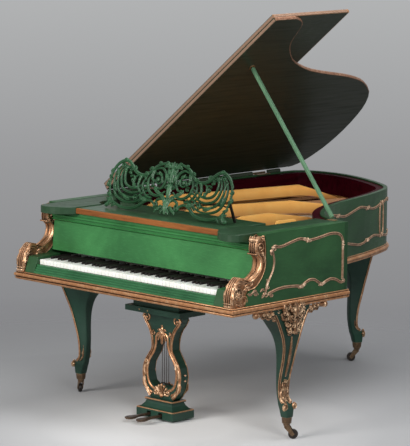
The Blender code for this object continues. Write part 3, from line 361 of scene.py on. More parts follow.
# %% Woods
def grained_wood(name, dark, light, along, roughness, coat=0.0, scale=18, specular=0.35):
    dark, light = in_thousandths(dark, light)
    finish = Finish(name, roughness)
    stretch = tuple(0.06 if axis == along else 1.0 for axis in "xyz")
    streaks = finish.noise(scale, 7, stretch, 0.65, 0.4)
    pores = finish.noise(scale * 14, 3, stretch)
    base = finish.steps(streaks, [(0.30, dark), (0.52, light), (0.72, dark)])
    pored = finish.blend(finish.span(pores, 0.56, 0.72, 0.0, 0.45), base, tuple(c * 0.4 for c in dark))
    # Outer edges are lightened for wear and as a painted highlight.
    finish.colour(finish.blend(finish.worn_and_highlit_edges(0.002, 0.5), pored, tuple(min(1, c * 1.5) for c in light)))
    finish.roughness(finish.span(pores, 0.3, 0.7, roughness - 0.05, roughness + 0.10))
    finish.bump(pores, 0.10)
    finish.shader.inputs["Specular IOR Level"].default_value = specular
    finish.shader.inputs["Coat Weight"].default_value = coat
    finish.shader.inputs["Coat Roughness"].default_value = 0.15
    return finish.material


mahogany = grained_wood("mahogany_strip", (120, 36, 9), (290, 100, 26), "x", 0.46, specular=0.2)
red_veneer = grained_wood("red_veneer", (16, 0.6, 2), (36, 1.2, 5), "y", 0.45, specular=0.03)
spruce_board = grained_wood("spruce_board", (200, 85, 25), (360, 180, 65), "y", 0.45, 0.05, 40)
beech = grained_wood("beech_board", (200, 110, 52), (340, 210, 110), "x", 0.55, 0.0, 30)
lid_underside = grained_wood("lid_underside", (23, 30, 17), (29, 37, 22), "y", 0.36, 0.04, 5, 0.16)

# %% [markdown]
# The keys are faced with ivory and the sharps are ebony. The strings are steel, and the dampers are red
# felt.


# %% Ivory, strings and felt
ivory = Finish("ivory", 0.28)
clouds = ivory.noise(14, 4, (1, 0.25, 1))
veins = ivory.noise(160, 3, (1, 0.05, 1))
ivory_tone = ivory.steps(clouds, [(0.35, (0.78, 0.77, 0.72)), (0.65, (0.88, 0.87, 0.84))])
ivory_veined = ivory.blend(ivory.span(veins, 0.58, 0.78, 0.0, 0.20), ivory_tone, (0.66, 0.62, 0.52))
# The ivory is darkened in its hollows, for dirt and as painted shade.
ivory.colour(ivory.blend(ivory.hollows(0.004, 0.5), ivory_veined, (0.30, 0.25, 0.17)))
ivory.shader.inputs["Subsurface Weight"].default_value = 0.06
ivory.shader.inputs["Subsurface Radius"].default_value = (0.004, 0.003, 0.002)
ivory.bump(veins, 0.04)

felt = Finish("red_felt", 0.95)
fluff = felt.noise(420, 4)
felt.colour(felt.steps(fluff, [(0.3, (0.20, 0.004, 0.020)), (0.7, (0.50, 0.020, 0.060))]))
felt.shader.inputs["Sheen Weight"].default_value = 0.5
felt.bump(fluff, 0.6)

string_wire = Finish("string_wire", 0.30, 1.0)
wire_tone = string_wire.noise(30, 2, (1, 0.1, 1))
string_wire.colour(string_wire.steps(wire_tone, [(0.35, (0.30, 0.27, 0.23)), (0.65, (0.62, 0.58, 0.50))]))

ebony = Finish("ebony", 0.42)
ebony_grain = ebony.noise(120, 4, (1, 0.08, 1))
ebony.colour(ebony.steps(ebony_grain, [(0.35, (0.006, 0.005, 0.005)), (0.70, (0.020, 0.016, 0.014))]))
ebony.bump(ebony_grain, 0.08)
ebony.shader.inputs["Specular IOR Level"].default_value = 0.16

# %% [markdown]
# Each solid is then given its finish by the start of its name. What isn't in the list is brass: the lid's
# hinges and the prop's fittings.

# %% Give each solid its finish
NODE_FINISHES = (
    (shaded_rim_green, "case_rim key_block"), (shaded_case_green, "cheek"), (console_green, "console"),
    (slip_green, "key_slip"), (lit_front_green, "fall_rail fallboard music_desk"), (top_green, "music_shelf"),
    (shaded_flap_green, "lid_flap"), (shaded_leg_green, "leg_left leg_right leg_back lyre_plate lyre_frame"),
    (prop_green, "lid_prop"), (copper_gilt, "rim_moulding arm_scroll flap_moulding"),
    (base_gilt, "base_moulding"), (lid_edge, "lid_moulding"), (mahogany, "shelf_strip"),
    (red_veneer, "inner_rim"), (lid_underside, "lid_main"), (frame_gold, "iron_frame"),
    (spruce_board, "soundboard"), (beech, "key_bed case_braces pin_block key_frame"),
    (ivory.material, "key_octave"), (string_wire.material, "strings"), (felt.material, "damper_rack"),
    (wheel_iron, "desk_prop lyre_rods caster_wheel"), (caster_brass, "caster_fork leg_cup"),
    (pedal_bronze, "pedal"),
)
for node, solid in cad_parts.items():
    found = [made for made, starts in NODE_FINISHES if node.startswith(tuple(starts.split()))]
    finish = found[0] if found else aged_brass
    for slot in solid.material_slots:
        slot.material = finish
print("finished nodes", len(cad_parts))

# %% [markdown]
# New pieces are fitted to the solids. Carving is easiest on a flat drawing board: a piece is drawn in two
# directions with a height above the board, and one matrix then puts the board where it belongs on the piano.


# %% Drawing boards
def board_at(origin, across, up, out):
    """The matrix that puts a drawing board's u, v and height directions at a place."""
    matrix = Matrix((across, up, out)).transposed().to_4x4()
    matrix.translation = Vector(origin)
    return matrix


def board(origin, across, up, out):
    """A drawing board that stands on the piano."""
    return board_at(HOME + Vector(origin), across, up, out)


def add_piece(name, bm, finish, place, replaces=(), angle=40, body="case"):
    """Turns a bmesh into a finished piece that rides on a body of the frame."""
    bmesh.ops.transform(bm, matrix=place, verts=bm.verts)
    bmesh.ops.recalc_face_normals(bm, faces=bm.faces)
    mesh = bpy.data.meshes.new(name)
    bm.to_mesh(mesh)
    bm.free()
    mesh.shade_smooth()
    mesh.set_sharp_from_angle(angle=math.radians(angle))
    mesh.materials.append(finish)
    piece = add_object(name, mesh)
    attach(piece, body)
    if replaces:
        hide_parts(*replaces)


WHOLE = board((0, 0, 0), (1, 0, 0), (0, 1, 0), (0, 0, 1))
SIDES = {"right": board((0.711, 0, 0), (0, 1, 0), (0, 0, 1), (1, 0, 0)),
         "left": board((-0.711, 0, 0), (0, 1, 0), (0, 0, 1), (-1, 0, 0))}
print("boards", list(SIDES))

# %% [markdown]
# The drawings are noted in millimetres. A smooth line runs through a few drawn points. A band carries a
# small section along such a line, as a carver's gouge does, by extruding one face again and again.


# %% Lines and bands
def drawn(*numbers):
    """A line's points, noted one after another in millimetres."""
    return in_thousandths(*zip(numbers[::2], numbers[1::2]))


def between(a, b, c, d, t):
    """A place between b and c on the rounded line through a, b, c and d: a Catmull-Rom curve."""
    return 0.5 * (2 * b + (c - a) * t + (2 * a - 5 * b + 4 * c - d) * t * t
                  + (3 * b - a - 3 * c + d) * t ** 3)


def four_about(line, i):
    """The point i with the one before it and the two after it."""
    return [line[min(max(k, 0), len(line) - 1)] for k in range(i - 1, i + 3)]


def smooth(points, steps=5):
    """A rounded line through the points."""
    line = [Vector(p).to_3d() for p in points]
    found = []
    for i in range(len(line) - 1):
        found += [between(*four_about(line, i), step / steps) for step in range(steps)]
    return found + [line[-1]]


def curl(centre, radius, start, turn, end=0.25, steps=14):
    """A spiral that starts at an angle in degrees and winds in through a turn."""
    found = []
    for share in (i / steps for i in range(steps + 1)):
        angle = math.radians(start + turn * share)
        reach = radius * (1 + (end - 1) * share)
        found.append(Vector(centre).to_3d() + Vector((math.cos(angle), math.sin(angle), 0)) * reach)
    return found


def ribbed(width, height, ribs=2, sunk=0.0012, valley=0.35):
    """A band's section: rounded ribs side by side on a flat back, as (across, out)."""
    count = ribs * 4
    top = []
    for i in range(count + 1):
        swell = abs(math.sin(math.pi * i / 4))
        top.append((width * (i / count - 0.5), height * (valley + (1 - valley) * swell)))
    return top + [(width / 2, -sunk), (-width / 2, -sunk)]


def band(bm, points, section, size=lambda share: 1.0, out=(0, 0, 1)):
    """Carries a section along a line by extruding one face from place to place."""
    last = len(points) - 1
    places = []
    for i, point in enumerate(points):
        run = (points[min(i + 1, last)] - points[max(i - 1, 0)]).normalized()
        across = Vector(out).cross(run).normalized()
        scale = size(i / last)
        turn = Matrix((run, across * scale, run.cross(across) * scale)).transposed().to_4x4()
        places.append(Matrix.Translation(point) @ turn)
    face = bm.faces.new([bm.verts.new((0, a, h)) for a, h in section])
    bmesh.ops.transform(bm, matrix=places[0], verts=face.verts)
    passed = []
    for before, after in zip(places, places[1:]):
        made = bmesh.ops.extrude_face_region(bm, geom=[face])
        passed.append(face)
        face = next(g for g in made["geom"] if isinstance(g, bmesh.types.BMFace))
        bmesh.ops.transform(bm, matrix=after @ before.inverted(), verts=face.verts)
    bmesh.ops.delete(bm, geom=passed[1:], context="FACES_ONLY")


def loft(bm, rings):
    """Extrudes one face from ring to ring."""
    face = bm.faces.new([bm.verts.new(p) for p in rings[0]])
    passed = []
    for ring in rings[1:]:
        made = bmesh.ops.extrude_face_region(bm, geom=[face])
        passed.append(face)
        face = next(g for g in made["geom"] if isinstance(g, bmesh.types.BMFace))
        for vert, point in zip(face.verts, ring):
            vert.co = point
    bmesh.ops.delete(bm, geom=passed[1:], context="FACES_ONLY")


def add_drawing(bm, drawing, place):
    """Joins a piece that was drawn on its own to the carving, at its place."""
    bmesh.ops.transform(drawing, matrix=place, verts=drawing.verts)
    mesh = bpy.data.meshes.new("drawing")
    drawing.to_mesh(mesh)
    drawing.free()
    bm.from_mesh(mesh)
    bpy.data.meshes.remove(mesh)


def pointed(share):
    """Thick in the middle and thin at both ends."""
    return 0.35 + 0.65 * math.sin(math.pi * (0.08 + 0.84 * share))


def tapering(share):
    """Thick at the start and thin at the end."""
    return 1.0 - 0.65 * share


print("a two-ribbed section has", len(ribbed(0.014, 0.004)), "points")

# %% [markdown]
# A leaf is a grid bent along a line, with lobes cut in its edges and veins raised on it. A button is a
# flattened ball, beads are a row of small balls, and a volute is a band wound in on itself round a button.


# %% Leaves and buttons
def leaf(bm, points, width, bulge, lobes=3, base=0.0):
    """An acanthus leaf along a line: a raised grid with lobed edges, side veins and a middle groove."""
    line = smooth(points, 6)
    last = len(line) - 1
    grid = bmesh.ops.create_grid(bm, x_segments=last, y_segments=6, size=1)
    faces = list({face for vert in grid["verts"] for face in vert.link_faces})
    raised = bmesh.ops.extrude_face_region(bm, geom=faces)
    top = {g for g in raised["geom"] if isinstance(g, bmesh.types.BMVert)}
    for vert in [*grid["verts"], *top]:
        share, side = (vert.co.x + 1) / 2, vert.co.y
        i = round(share * last)
        run = (line[min(i + 1, last)] - line[max(i - 1, 0)]).normalized()
        swell = math.sin(math.pi * (0.05 + 0.92 * share ** 0.8)) ** 0.6
        half = width / 2 * swell * (0.70 + 0.30 * abs(math.cos(math.pi * lobes * share)))
        height = -0.001
        if vert in top:
            vein = 0.25 * math.cos(math.tau * lobes * (share + 0.1 * abs(side))) * abs(side)
            groove = 0.45 * math.exp(-(side / 0.2) ** 2)
            height = bulge * (swell * (1 - 0.55 * side * side) + vein - groove)
        spot = line[i] + Vector((-run.y, run.x, 0)) * side * half
        vert.co = (spot.x, spot.y, base + max(height, -0.0005 if vert in top else -0.001))


def add_leaves(bm, rows, way=1):
    """Leaves, each noted in millimetres as three points, a width, a bulge, its lobes and its lift.

    Where way is -1 they are mirrored, but not the leaves in the middle, which have no mirror image.
    """
    for *line, width, bulge, lobes, lift in rows:
        points = [(way * u, v) for u, v in drawn(*line)]
        if points[-1][0] or way > 0:
            leaf(bm, points, width / 1000, bulge / 1000, lobes, lift / 1000)


def button(bm, centre, radius, height, detail=2):
    spot = Matrix.Translation(Vector(centre).to_3d())
    bmesh.ops.create_icosphere(bm, subdivisions=detail, radius=1,
                               matrix=spot @ Matrix.Diagonal((radius, radius, height, 1)))


def cone(bm, sides, start, end, depth, place):
    return bmesh.ops.create_cone(bm, cap_ends=True, segments=sides, radius1=start, radius2=end, depth=depth,
                                 matrix=place)


def beads(bm, points, radius, count):
    """A row of beads, evenly spaced along a straight or bent line."""
    for i in range(count):
        share = i / (count - 1) * (len(points) - 1)
        start = min(int(share), len(points) - 2)
        spot = points[start].lerp(points[start + 1], share - start)
        button(bm, spot, radius, radius, 1)


def volute(bm, centre, radius, section, start, turn, bead=0.3):
    band(bm, curl(centre, radius, start, turn), section, tapering)
    button(bm, centre, radius * bead, radius * bead * 0.8)


print("carving helpers ready")

# %% [markdown]
# A real keyboard has a key for every note. Each natural is a long lever with a notch on either side where a
# sharp stands. The outline is drawn flat, extruded, and its upper edges are eased with a small bevel. The
# solids move by octaves, so every key rides on its octave.

# %% Keys
WHITE_PITCH = 0.0235
KEY_LEFT = -25 * WHITE_PITCH
KEY_Y = (0.047, 0.400)
NOTCH_Y = 0.0945
KEY_Z = (0.6911, 0.714)
SHARP_Y = (0.097, 0.225)
SHARP_Z = (0.7105, 0.726)
SHARP_HALF = 0.0055
OCTAVES = [(0, 9), (9, 7), (16, 7), (23, 7), (30, 7), (37, 7), (44, 6)]


def sharp_after(natural):
    """Whether a sharp stands between this natural and the next. Natural 0 is the lowest A."""
    return natural % 7 not in (1, 4) and 0 <= natural < 49


def ease(bm, edges, offset, segments=2):
    bmesh.ops.bevel(bm, geom=edges, offset=offset, segments=segments, profile=0.5, affect="EDGES",
                    material=-1)


def add_natural(bm, natural):
    left = KEY_LEFT + natural * WHITE_PITCH + 0.0005
    right = left + WHITE_PITCH - 0.001
    cut_left = left + SHARP_HALF + 0.0006 if sharp_after(natural - 1) else left
    cut_right = right - SHARP_HALF - 0.0006 if sharp_after(natural) else right
    outline = [(left, KEY_Y[0]), (right, KEY_Y[0]), (right, NOTCH_Y), (cut_right, NOTCH_Y + 0.0002),
               (cut_right, KEY_Y[1]), (cut_left, KEY_Y[1]), (cut_left, NOTCH_Y + 0.0002), (left, NOTCH_Y)]
    face = bm.faces.new([bm.verts.new((x, y, KEY_Z[0])) for x, y in outline])
    made = bmesh.ops.extrude_face_region(bm, geom=[face])
    top = [g for g in made["geom"] if isinstance(g, bmesh.types.BMVert)]
    bmesh.ops.translate(bm, verts=top, vec=(0, 0, KEY_Z[1] - KEY_Z[0]))
    ease(bm, [g for g in made["geom"] if isinstance(g, bmesh.types.BMEdge)], 0.0006)


def add_sharp(bm, x):
    """An ebony block that narrows upwards and slopes down at its front."""
    made = bmesh.ops.create_cube(bm, size=1)
    for vert in made["verts"]:
        high = vert.co.z > 0
        half = SHARP_HALF - (0.0012 if high else 0)
        front = SHARP_Y[0] + (0.006 if high else 0)
        vert.co = (x + math.copysign(half, vert.co.x), front if vert.co.y < 0 else SHARP_Y[1], SHARP_Z[high])
    edges = {e for v in made["verts"] for e in v.link_edges if all(p.co.z > SHARP_Z[0] for p in e.verts)}
    ease(bm, list(edges), 0.0013)


for octave, (first, count) in enumerate(OCTAVES, start=1):
    naturals = bmesh.new()
    sharps = bmesh.new()
    for natural in range(first, first + count):
        add_natural(naturals, natural)
        if sharp_after(natural):
            add_sharp(sharps, KEY_LEFT + (natural + 1) * WHITE_PITCH)
    node = f"key_octave_{octave}"
    add_piece(f"naturals_{octave}", naturals, ivory.material, WHOLE, [node], body=node)
    add_piece(f"sharps_{octave}", sharps, ebony.material, WHOLE, body=node)
print("keys drawn for", sum(count for _, count in OCTAVES), "naturals")

# %% [markdown]
# Each arm of the case ends in a carved scroll: a leafy capital, an S of two thick ribs and a reeded volute
# at the bottom. Seen from the side it is one wavy outline, so a core is extruded from that outline, and ribs
# are carried along its front edge. The core is cut a little smaller than the outline, so that the ribs,
# rosettes and leaves stand well clear of it, and the gilding darkens the hollows between them for dirt and
# as painted shade.

# %% Arm scrolls
ARM_X = (0.6575, 0.7110)
ARM_SUNK = 0.0065
ARM_FRONT = drawn(
    8, 652.5, 9, 690, 16, 726, 33, 756, 60, 778, 92, 772, 118, 762, 152, 775, 181, 801, 192, 835,
    188, 858, 169, 878, 164, 906, 172, 934, 188, 950)
ARM_REAR = drawn(
    217, 952, 225, 910, 227, 861, 227, 824, 213, 782, 188, 749, 157, 726, 114, 718, 101, 696, 94, 652.5)
# The foot, the waist and the capital, each with its first and last point, its ribs and their height.
ARM_RIBS = [(0, 25, 4, 0.0100), (27, 53, 2, 0.0125), (54, 70, 4, 0.0105)]
BEAD_ROWS = in_thousandths(
    (160.5, 877.5, 4.6), (10, 657, 4.6), (93, 773.5, 4.2), (6.5, 670, 3.2), (168, 940, 4.2),
)


def facing_out(line):
    """The direction that a drawn outline faces at each of its points."""
    last = len(line) - 1
    runs = [line[min(i + 1, last)] - line[max(i - 1, 0)] for i in range(last + 1)]
    return [Vector((-run.y, run.x, 0)).normalized() for run in runs]


def add_arm(side, sign):
    """One arm scroll, drawn as (y, z) with its height along x."""
    thick = ARM_X[1] - ARM_X[0]
    front = smooth(ARM_FRONT)
    outward = facing_out(front)
    sunk = [p - out * ARM_SUNK for p, out in zip(front, outward)]
    rear = [Vector(p).to_3d() for p in ARM_REAR]
    bm = bmesh.new()
    loft(bm, [[p + Vector((0, 0, level)) for p in sunk + rear] for level in (ARM_SUNK, thick - ARM_SUNK)])
    for start, end, ribs, height in ARM_RIBS:
        section = ribbed(thick - 0.006, height, ribs, 0.003, 0.12)
        rings = []
        for point, out in zip(sunk[start:end + 1], outward[start:end + 1]):
            rings.append([point + out * h + Vector((0, 0, thick / 2 + a)) for a, h in section])
        loft(bm, rings)
    for level, way in ((thick - ARM_SUNK, 1), (ARM_SUNK, -1)):
        dressed = dress_arm_side(front)
        add_drawing(bm, dressed, Matrix.Translation((0, 0, level)) @ Matrix.Diagonal((1, 1, way, 1)))
    for y, z, radius in BEAD_ROWS:
        beads(bm, [Vector((y, z, 0.004)), Vector((y, z, thick - 0.004))], radius, 7)
    crest = bmesh.new()
    for spread in (-0.018, -0.006, 0.006, 0.018):
        leaf(crest, [(spread * 0.6, 0.0), (spread, 0.014), (spread * 1.15, 0.026)], 0.013, 0.0060, 2)
    add_drawing(bm, crest, board_at((0.166, 0.930, thick / 2), (0, 0, 1), (0.30, 0.95, 0), (-0.95, 0.30, 0)))
    place = board((sign * ARM_X[0], 0, 0), (0, 1, 0), (0, 0, 1), (sign, 0, 0))
    add_piece("carved_arm_" + side, bm, copper_gilt, place, ["arm_scroll_" + side], 50)


ARM_LEAVES = [
    (22, 728, 44, 752, 82, 757, 24, 9, 3, 0), (16, 716, 13, 690, 20, 664, 19, 8.5, 3, 0),
    (86, 696, 104, 680, 90, 657, 22, 9, 3, 0), (36, 664, 55, 657, 78, 662, 18, 8, 3, 0),
    (95, 740, 125, 744, 152, 758, 26, 9, 3, 0), (86, 722, 106, 730, 132, 730, 20, 8, 3, 0),
    (202, 932, 212, 948, 196, 951, 20, 8.5, 3, 0), (206, 884, 217, 862, 217, 834, 17, 8, 3, 0),
    (176, 922, 172, 936, 182, 948, 15, 8, 3, 0), (190, 880, 204, 872, 212, 884, 15, 8, 3, 0),
]


def dress_arm_side(front):
    """The edging, rosettes and leaves of one flat side of the arm, drawn flat."""
    side = bmesh.new()
    band(side, [p + Vector((0.0065, -0.001, 0)) for p in front[24:58]], ribbed(0.0085, 0.0095, 1, valley=0.3))
    rear = smooth(ARM_REAR, 4)
    band(side, [p + Vector((-0.005, 0.003, 0)) for p in rear[2:29]], ribbed(0.0075, 0.0085, 1, valley=0.3))
    volute(side, (0.050, 0.706), 0.037, ribbed(0.0115, 0.0110, 2, valley=0.25), 200, -500, 0.26)
    volute(side, (0.192, 0.905), 0.023, ribbed(0.0085, 0.0100, 1, valley=0.25), 160, -420, 0.30)
    middle = Vector((0.050, 0.706, 0))
    for angle in (math.radians(turn * 360 / 7) for turn in range(7)):
        tip = middle + Vector((math.cos(angle), math.sin(angle), 0)) * 0.023
        leaf(side, [middle, (middle + tip) / 2, tip], 0.014, 0.0080, 2)
    button(side, (0.050, 0.706), 0.0085, 0.0125)
    button(side, (0.192, 0.905), 0.0055, 0.0105)
    add_leaves(side, ARM_LEAVES)
    return side


for side, sign in (("left", -1), ("right", 1)):
    add_arm(side, sign)

# %% [markdown]
# The flat cheeks carry a gilt frame of two thin ribs, wavy at the top and bottom and held by small clasps.

# %% Gilt frames on the flat sides
PANEL_TOP = drawn(
    262, 893, 283, 903, 305, 897, 340, 899, 400, 912, 450, 919, 492, 910, 520, 906, 590, 913, 650, 921,
    700, 918, 730, 902, 741, 874)
PANEL_RIGHT = drawn(741, 880, 741, 820, 741, 760, 740, 702)
PANEL_BOTTOM = drawn(
    746, 692, 732, 688, 715, 695, 690, 707, 657, 711, 625, 703, 600, 694, 575, 706, 548, 721, 515, 723,
    485, 712, 466, 700, 430, 705, 360, 709, 300, 705, 262, 697, 238, 690)
PANEL_LEFT = drawn(224, 694, 229, 722, 245, 755, 268, 792, 278, 830, 273, 866, 262, 893)

FRAME_LEAVES = [
    (250, 687, 262, 680, 274, 686, 16), (222, 700, 210, 690, 200, 676, 16),
    (108, 706, 124, 700, 142, 710, 13), (138, 708, 154, 716, 170, 704, 13),
    (146, 704, 160, 696, 176, 700, 13), (190, 706, 204, 716, 218, 706, 13),
    (226, 730, 236, 744, 230, 760, 13), (268, 890, 256, 880, 262, 862, 15),
    (741, 700, 752, 694, 750, 684, 14),
]


def clasp(bm, spot, turn, size=1.0):
    """A small bound joint: a raised bar across the band, with a leaf to each side."""
    centre = Vector(spot).to_3d()
    along = Vector((math.cos(math.radians(turn)), math.sin(math.radians(turn)), 0))
    across = Vector((-along.y, along.x, 0))
    band(bm, [centre - across * 0.011 * size, centre, centre + across * 0.011 * size],
         ribbed(0.007 * size, 0.0075 * size, 1))
    for way in (-1, 1):
        leaf(bm, [centre, centre + along * way * 0.016 * size, centre + along * way * 0.030 * size],
             0.017 * size, 0.0065 * size, 2)


for side in SIDES:
    bm = bmesh.new()
    for line in (PANEL_TOP, PANEL_RIGHT, PANEL_BOTTOM, PANEL_LEFT):
        band(bm, smooth(line), ribbed(0.0135 if line is not PANEL_LEFT else 0.010, 0.0045))
    clasp(bm, (0.496, 0.909), -18)
    clasp(bm, (0.600, 0.695), 10, 0.8)
    clasp(bm, (0.466, 0.701), 15, 0.9)
    clasp(bm, (0.741, 0.860), 88, 0.8)
    volute(bm, (0.283, 0.892), 0.013, ribbed(0.006, 0.004, 1), 100, 400)
    volute(bm, (0.226, 0.690), 0.014, ribbed(0.006, 0.004, 1), 20, -420)
    volute(bm, (0.238, 0.722), 0.009, ribbed(0.005, 0.004, 1), 250, 380)
    add_leaves(bm, [(*row, 5.5, 3, 0) for row in FRAME_LEAVES])
    add_piece("side_frame_" + side, bm, rose_gilt, SIDES[side])

# %% [markdown]
# The same frame runs on round the curved side of the case. It is drawn flat, along the length of the wall,
# and each of its points is then carried round the curve.

# %% The curved side's frame
BENTSIDE = drawn(
    664, 776, 600, 795, 510, 845, 440, 915, 375, 1000, 318, 1100, 271, 1216, 235, 1350, 203, 1477,
    166, 1594, 126, 1700, 85, 1782, 20, 1850, -70, 1905, -165, 1952, -280, 1996, -410, 2028, -530, 2030,
    -640, 2000, -698, 1940)
WALL_LINE = smooth(BENTSIDE, 8)
WALL_RUN = [0.0]
for before, after in zip(WALL_LINE, WALL_LINE[1:]):
    WALL_RUN.append(WALL_RUN[-1] + (after - before).length)


def round_the_wall(point):
    """Carries a point of a flat drawing (run along the wall, z, height out) round the curved side."""
    i = max(k for k, run in enumerate(WALL_RUN[:-1]) if run <= max(point.x, 0))
    here, there = WALL_LINE[i], WALL_LINE[i + 1]
    run = (there - here).normalized()
    spot = here + run * (point.x - WALL_RUN[i]) + Vector((run.y, -run.x, 0)) * point.z
    return Vector((spot.x, spot.y, point.y))


def wall_frame(bm, start, end, waves):
    """A wavy gilt frame along the wall, with a clasp on each crest."""
    for level, way in ((0.902, 1), (0.742, -1)):
        line = []
        for share in (i / (waves * 4) for i in range(waves * 4 + 1)):
            swing = way * 0.012 * math.sin(math.pi * 2 * waves * share)
            line.append((start + (end - start) * share, level + swing))
        band(bm, smooth(line, 4), ribbed(0.0125, 0.0045))
        for k in range(waves):
            clasp(bm, (start + (end - start) * (k + 0.5) / waves, level), 15 * way, 0.8)
    for edge, way in ((start, 1), (end, -1)):
        side_line = [(edge, 0.902), (edge + way * 0.006, 0.860), (edge + way * 0.006, 0.790), (edge, 0.742)]
        band(bm, smooth(side_line), ribbed(0.011, 0.0045))
        for z in (0.902, 0.742):
            volute(bm, (edge - way * 0.004, z), 0.012, ribbed(0.006, 0.004, 1), 90, 400 * way)


bm = bmesh.new()
wall_frame(bm, 0.10, 1.085, 3)
wall_frame(bm, 1.125, 1.980, 3)
for vert in bm.verts:
    vert.co = round_the_wall(vert.co)
add_piece("wall_frames", bm, rose_gilt, WHOLE)
print("wall run", round(WALL_RUN[-1], 3))

# %% [markdown]
# A moulding catches the light on its fillets and rounds, and stays dark in the grooves between them. That is
# all one sees of it from a distance, so its section is drawn in full and carried round the case. At a corner
# the section is stretched by the mitre, as a joiner's would be.

# %% Mouldings round the case
BASE_PROFILE = drawn(
    -20, 650, 2.8, 650, 4.6, 648.8, 4.8, 646.6, 2.6, 645.2, 2.4, 643.6, 6.6, 642.2, 9.6, 639.6, 11, 635.2,
    10.6, 630, 8.8, 626.6, 5.6, 625, 4.4, 623.4, 6.8, 621.6, 7.8, 618.6, 6.6, 615.6, 3.4, 614.2,
    1.8, 612.6, 1.8, 611.2, -20, 611.2)
RIM_PROFILE = drawn(
    0.4, 685.8, 3, 685, 3.6, 682.6, 2.2, 680.8, 4.6, 679.6, 9.6, 676.8, 12.4, 671.6, 12, 666.6,
    9.2, 663.6, 5.8, 662.2, 7, 659.8, 7.2, 656, 5, 653, 0.4, 652.2)
BASE_LINE = [(-0.711, 0.783), (-0.711, 0.0111), (0.711, 0.0111), (0.711, 0.783)]
SPINE_TAIL = [(-0.711, 1.860), (-0.711, 0.797)]


def run_moulding(bm, path, profile):
    """Carries a profile, as (out, z), along a level path that has the case on its left."""
    last = len(path) - 1
    rings = []
    for i, point in enumerate(path):
        before = (point - path[i - 1]).normalized() if i else (path[1] - point).normalized()
        after = (path[i + 1] - point).normalized() if i < last else before
        across = Vector((before.y + after.y, -before.x - after.x, 0)).normalized()
        mitre = across / max(0.5, across.dot(Vector((after.y, -after.x, 0))))
        rings.append([point + mitre * out + Vector((0, 0, z)) for out, z in profile])
    loft(bm, rings)


for name, path, profile, node in (
        ("base_mouldings", [Vector(p).to_3d() for p in BASE_LINE], BASE_PROFILE, "base_moulding"),
        ("rim_mouldings", WALL_LINE + [Vector(p).to_3d() for p in SPINE_TAIL], RIM_PROFILE, "rim_moulding")):
    bm = bmesh.new()
    run_moulding(bm, path, profile)
    add_piece(name, bm, base_gilt, WHOLE, [node], 55)
print("moulding section points", len(BASE_PROFILE), len(RIM_PROFILE))

# %% [markdown]
# A cabriole leg swells out at the knee, narrows towards the ankle and turns out again at the foot. Here it
# is carried from the foot to the top as a four-cornered section, which changes its depth and width at each
# level, and its long corners are then rounded. The left leg's knee stands further out. A gilt rib sits
# on each front corner. A cluster of acanthus leaves, drawn on the leg's curved face, covers the knee, and on
# the front legs two branches of it spread out under the moulding and end in a roll.

# %% Legs
# The levels of a leg: its height, front and back, and how wide it is at the front and at the back.
LEG_SHAPE = in_thousandths(
    (100.5, 21, -21, 43, 43), (120, 22, -27, 47, 42), (136, 20, -32, 56, 40), (148, 20, -38, 62, 38),
    (160, 10, -42, 60, 36), (182, -14, -47, 58, 34), (220, -20, -54, 62, 32), (280, -14, -57, 66, 32),
    (360, 6, -55, 73, 36), (420, 18, -58, 86, 45), (470, 24, -72, 112, 58), (510, 24, -100, 144, 72),
)
KNEE_FRONT = in_thousandths((550, 24, -126, 182, 100), (585, 24, -146, 222, 135), (610, 22, -155, 256, 160))
# How much further out the left leg's face stands at the levels of the knee.
FULL_KNEE = {0.360: 0.004, 0.420: 0.010, 0.470: 0.018, 0.510: 0.022, 0.550: 0.024, 0.585: 0.022, 0.610: 0.020}
KNEE_BACK = in_thousandths(
    (550, 26, -120, 176, 98), (585, 28, -138, 200, 120), (610, 28, -148, 210, 130), (649, 28, -150, 210, 130),
)
LEG_PLACES = {"left": ((-0.684, 0.405), 180), "right": ((0.684, 0.405), 0), "back": ((-0.285, 1.995), 73)}


def leg_levels(side):
    """The leg's levels with smooth steps between them, as (z, front, back, wide, narrow)."""
    rows = LEG_SHAPE + (KNEE_BACK if side == "back" else KNEE_FRONT)
    if side == "left":
        rows = [(z, front + FULL_KNEE.get(z, 0), *rest) for z, front, *rest in rows]
    found = []
    for i in range(len(rows) - 1):
        for step in range(3):
            found.append([between(*four, step / 3) for four in zip(*four_about(rows, i))])
    return found + [list(rows[-1])]


def leg_front(levels, z):
    """How far forward and how wide the leg's face is at a height."""
    for low, high in zip(levels, levels[1:]):
        if z <= high[0]:
            t = (z - low[0]) / (high[0] - low[0])
            return low[1] + (high[1] - low[1]) * t, low[3] + (high[3] - low[3]) * t
    return levels[-1][1], levels[-1][3]


def leg_body(levels):
    bm = bmesh.new()
    loft(bm, [[(front, -wide / 2, z), (front, wide / 2, z), (back, narrow / 2, z), (back, -narrow / 2, z)]
              for z, front, back, wide, narrow in levels])
    upright = [e for e in bm.edges if abs(e.verts[0].co.z - e.verts[1].co.z) > 0.002]
    ease(bm, upright, 0.006, 3)
    return bm


def lay_on_leg(bm, levels, drawing, lift):
    """Lays a flat drawing, made as (u, z), on the curved face of the leg."""
    for vert in drawing.verts:
        front, _ = leg_front(levels, vert.co.y)
        vert.co = Vector((front + vert.co.z + lift, vert.co.x, vert.co.y))
    add_drawing(bm, drawing, Matrix())


KNEE_LEAVES = [
    (0, 570, 0, 606, 0, 636, 40, 13, 4, 26), (0, 560, 0, 524, 0, 488, 32, 13, 4, 18),
    (8, 548, 28, 562, 46, 592, 28, 13, 3, 14), (8, 532, 32, 530, 56, 550, 26, 12, 3, 9),
    (8, 520, 28, 508, 44, 518, 22, 11, 3, 8), (6, 508, 20, 492, 34, 490, 19, 10, 3, 6),
    (10, 590, 28, 610, 36, 634, 24, 12, 3, 20), (30, 580, 52, 596, 70, 608, 26, 12, 3, 10),
    (52, 556, 66, 568, 76, 590, 20, 10, 2, 4), (50, 600, 64, 618, 60, 632, 18, 10, 2, 12),
]
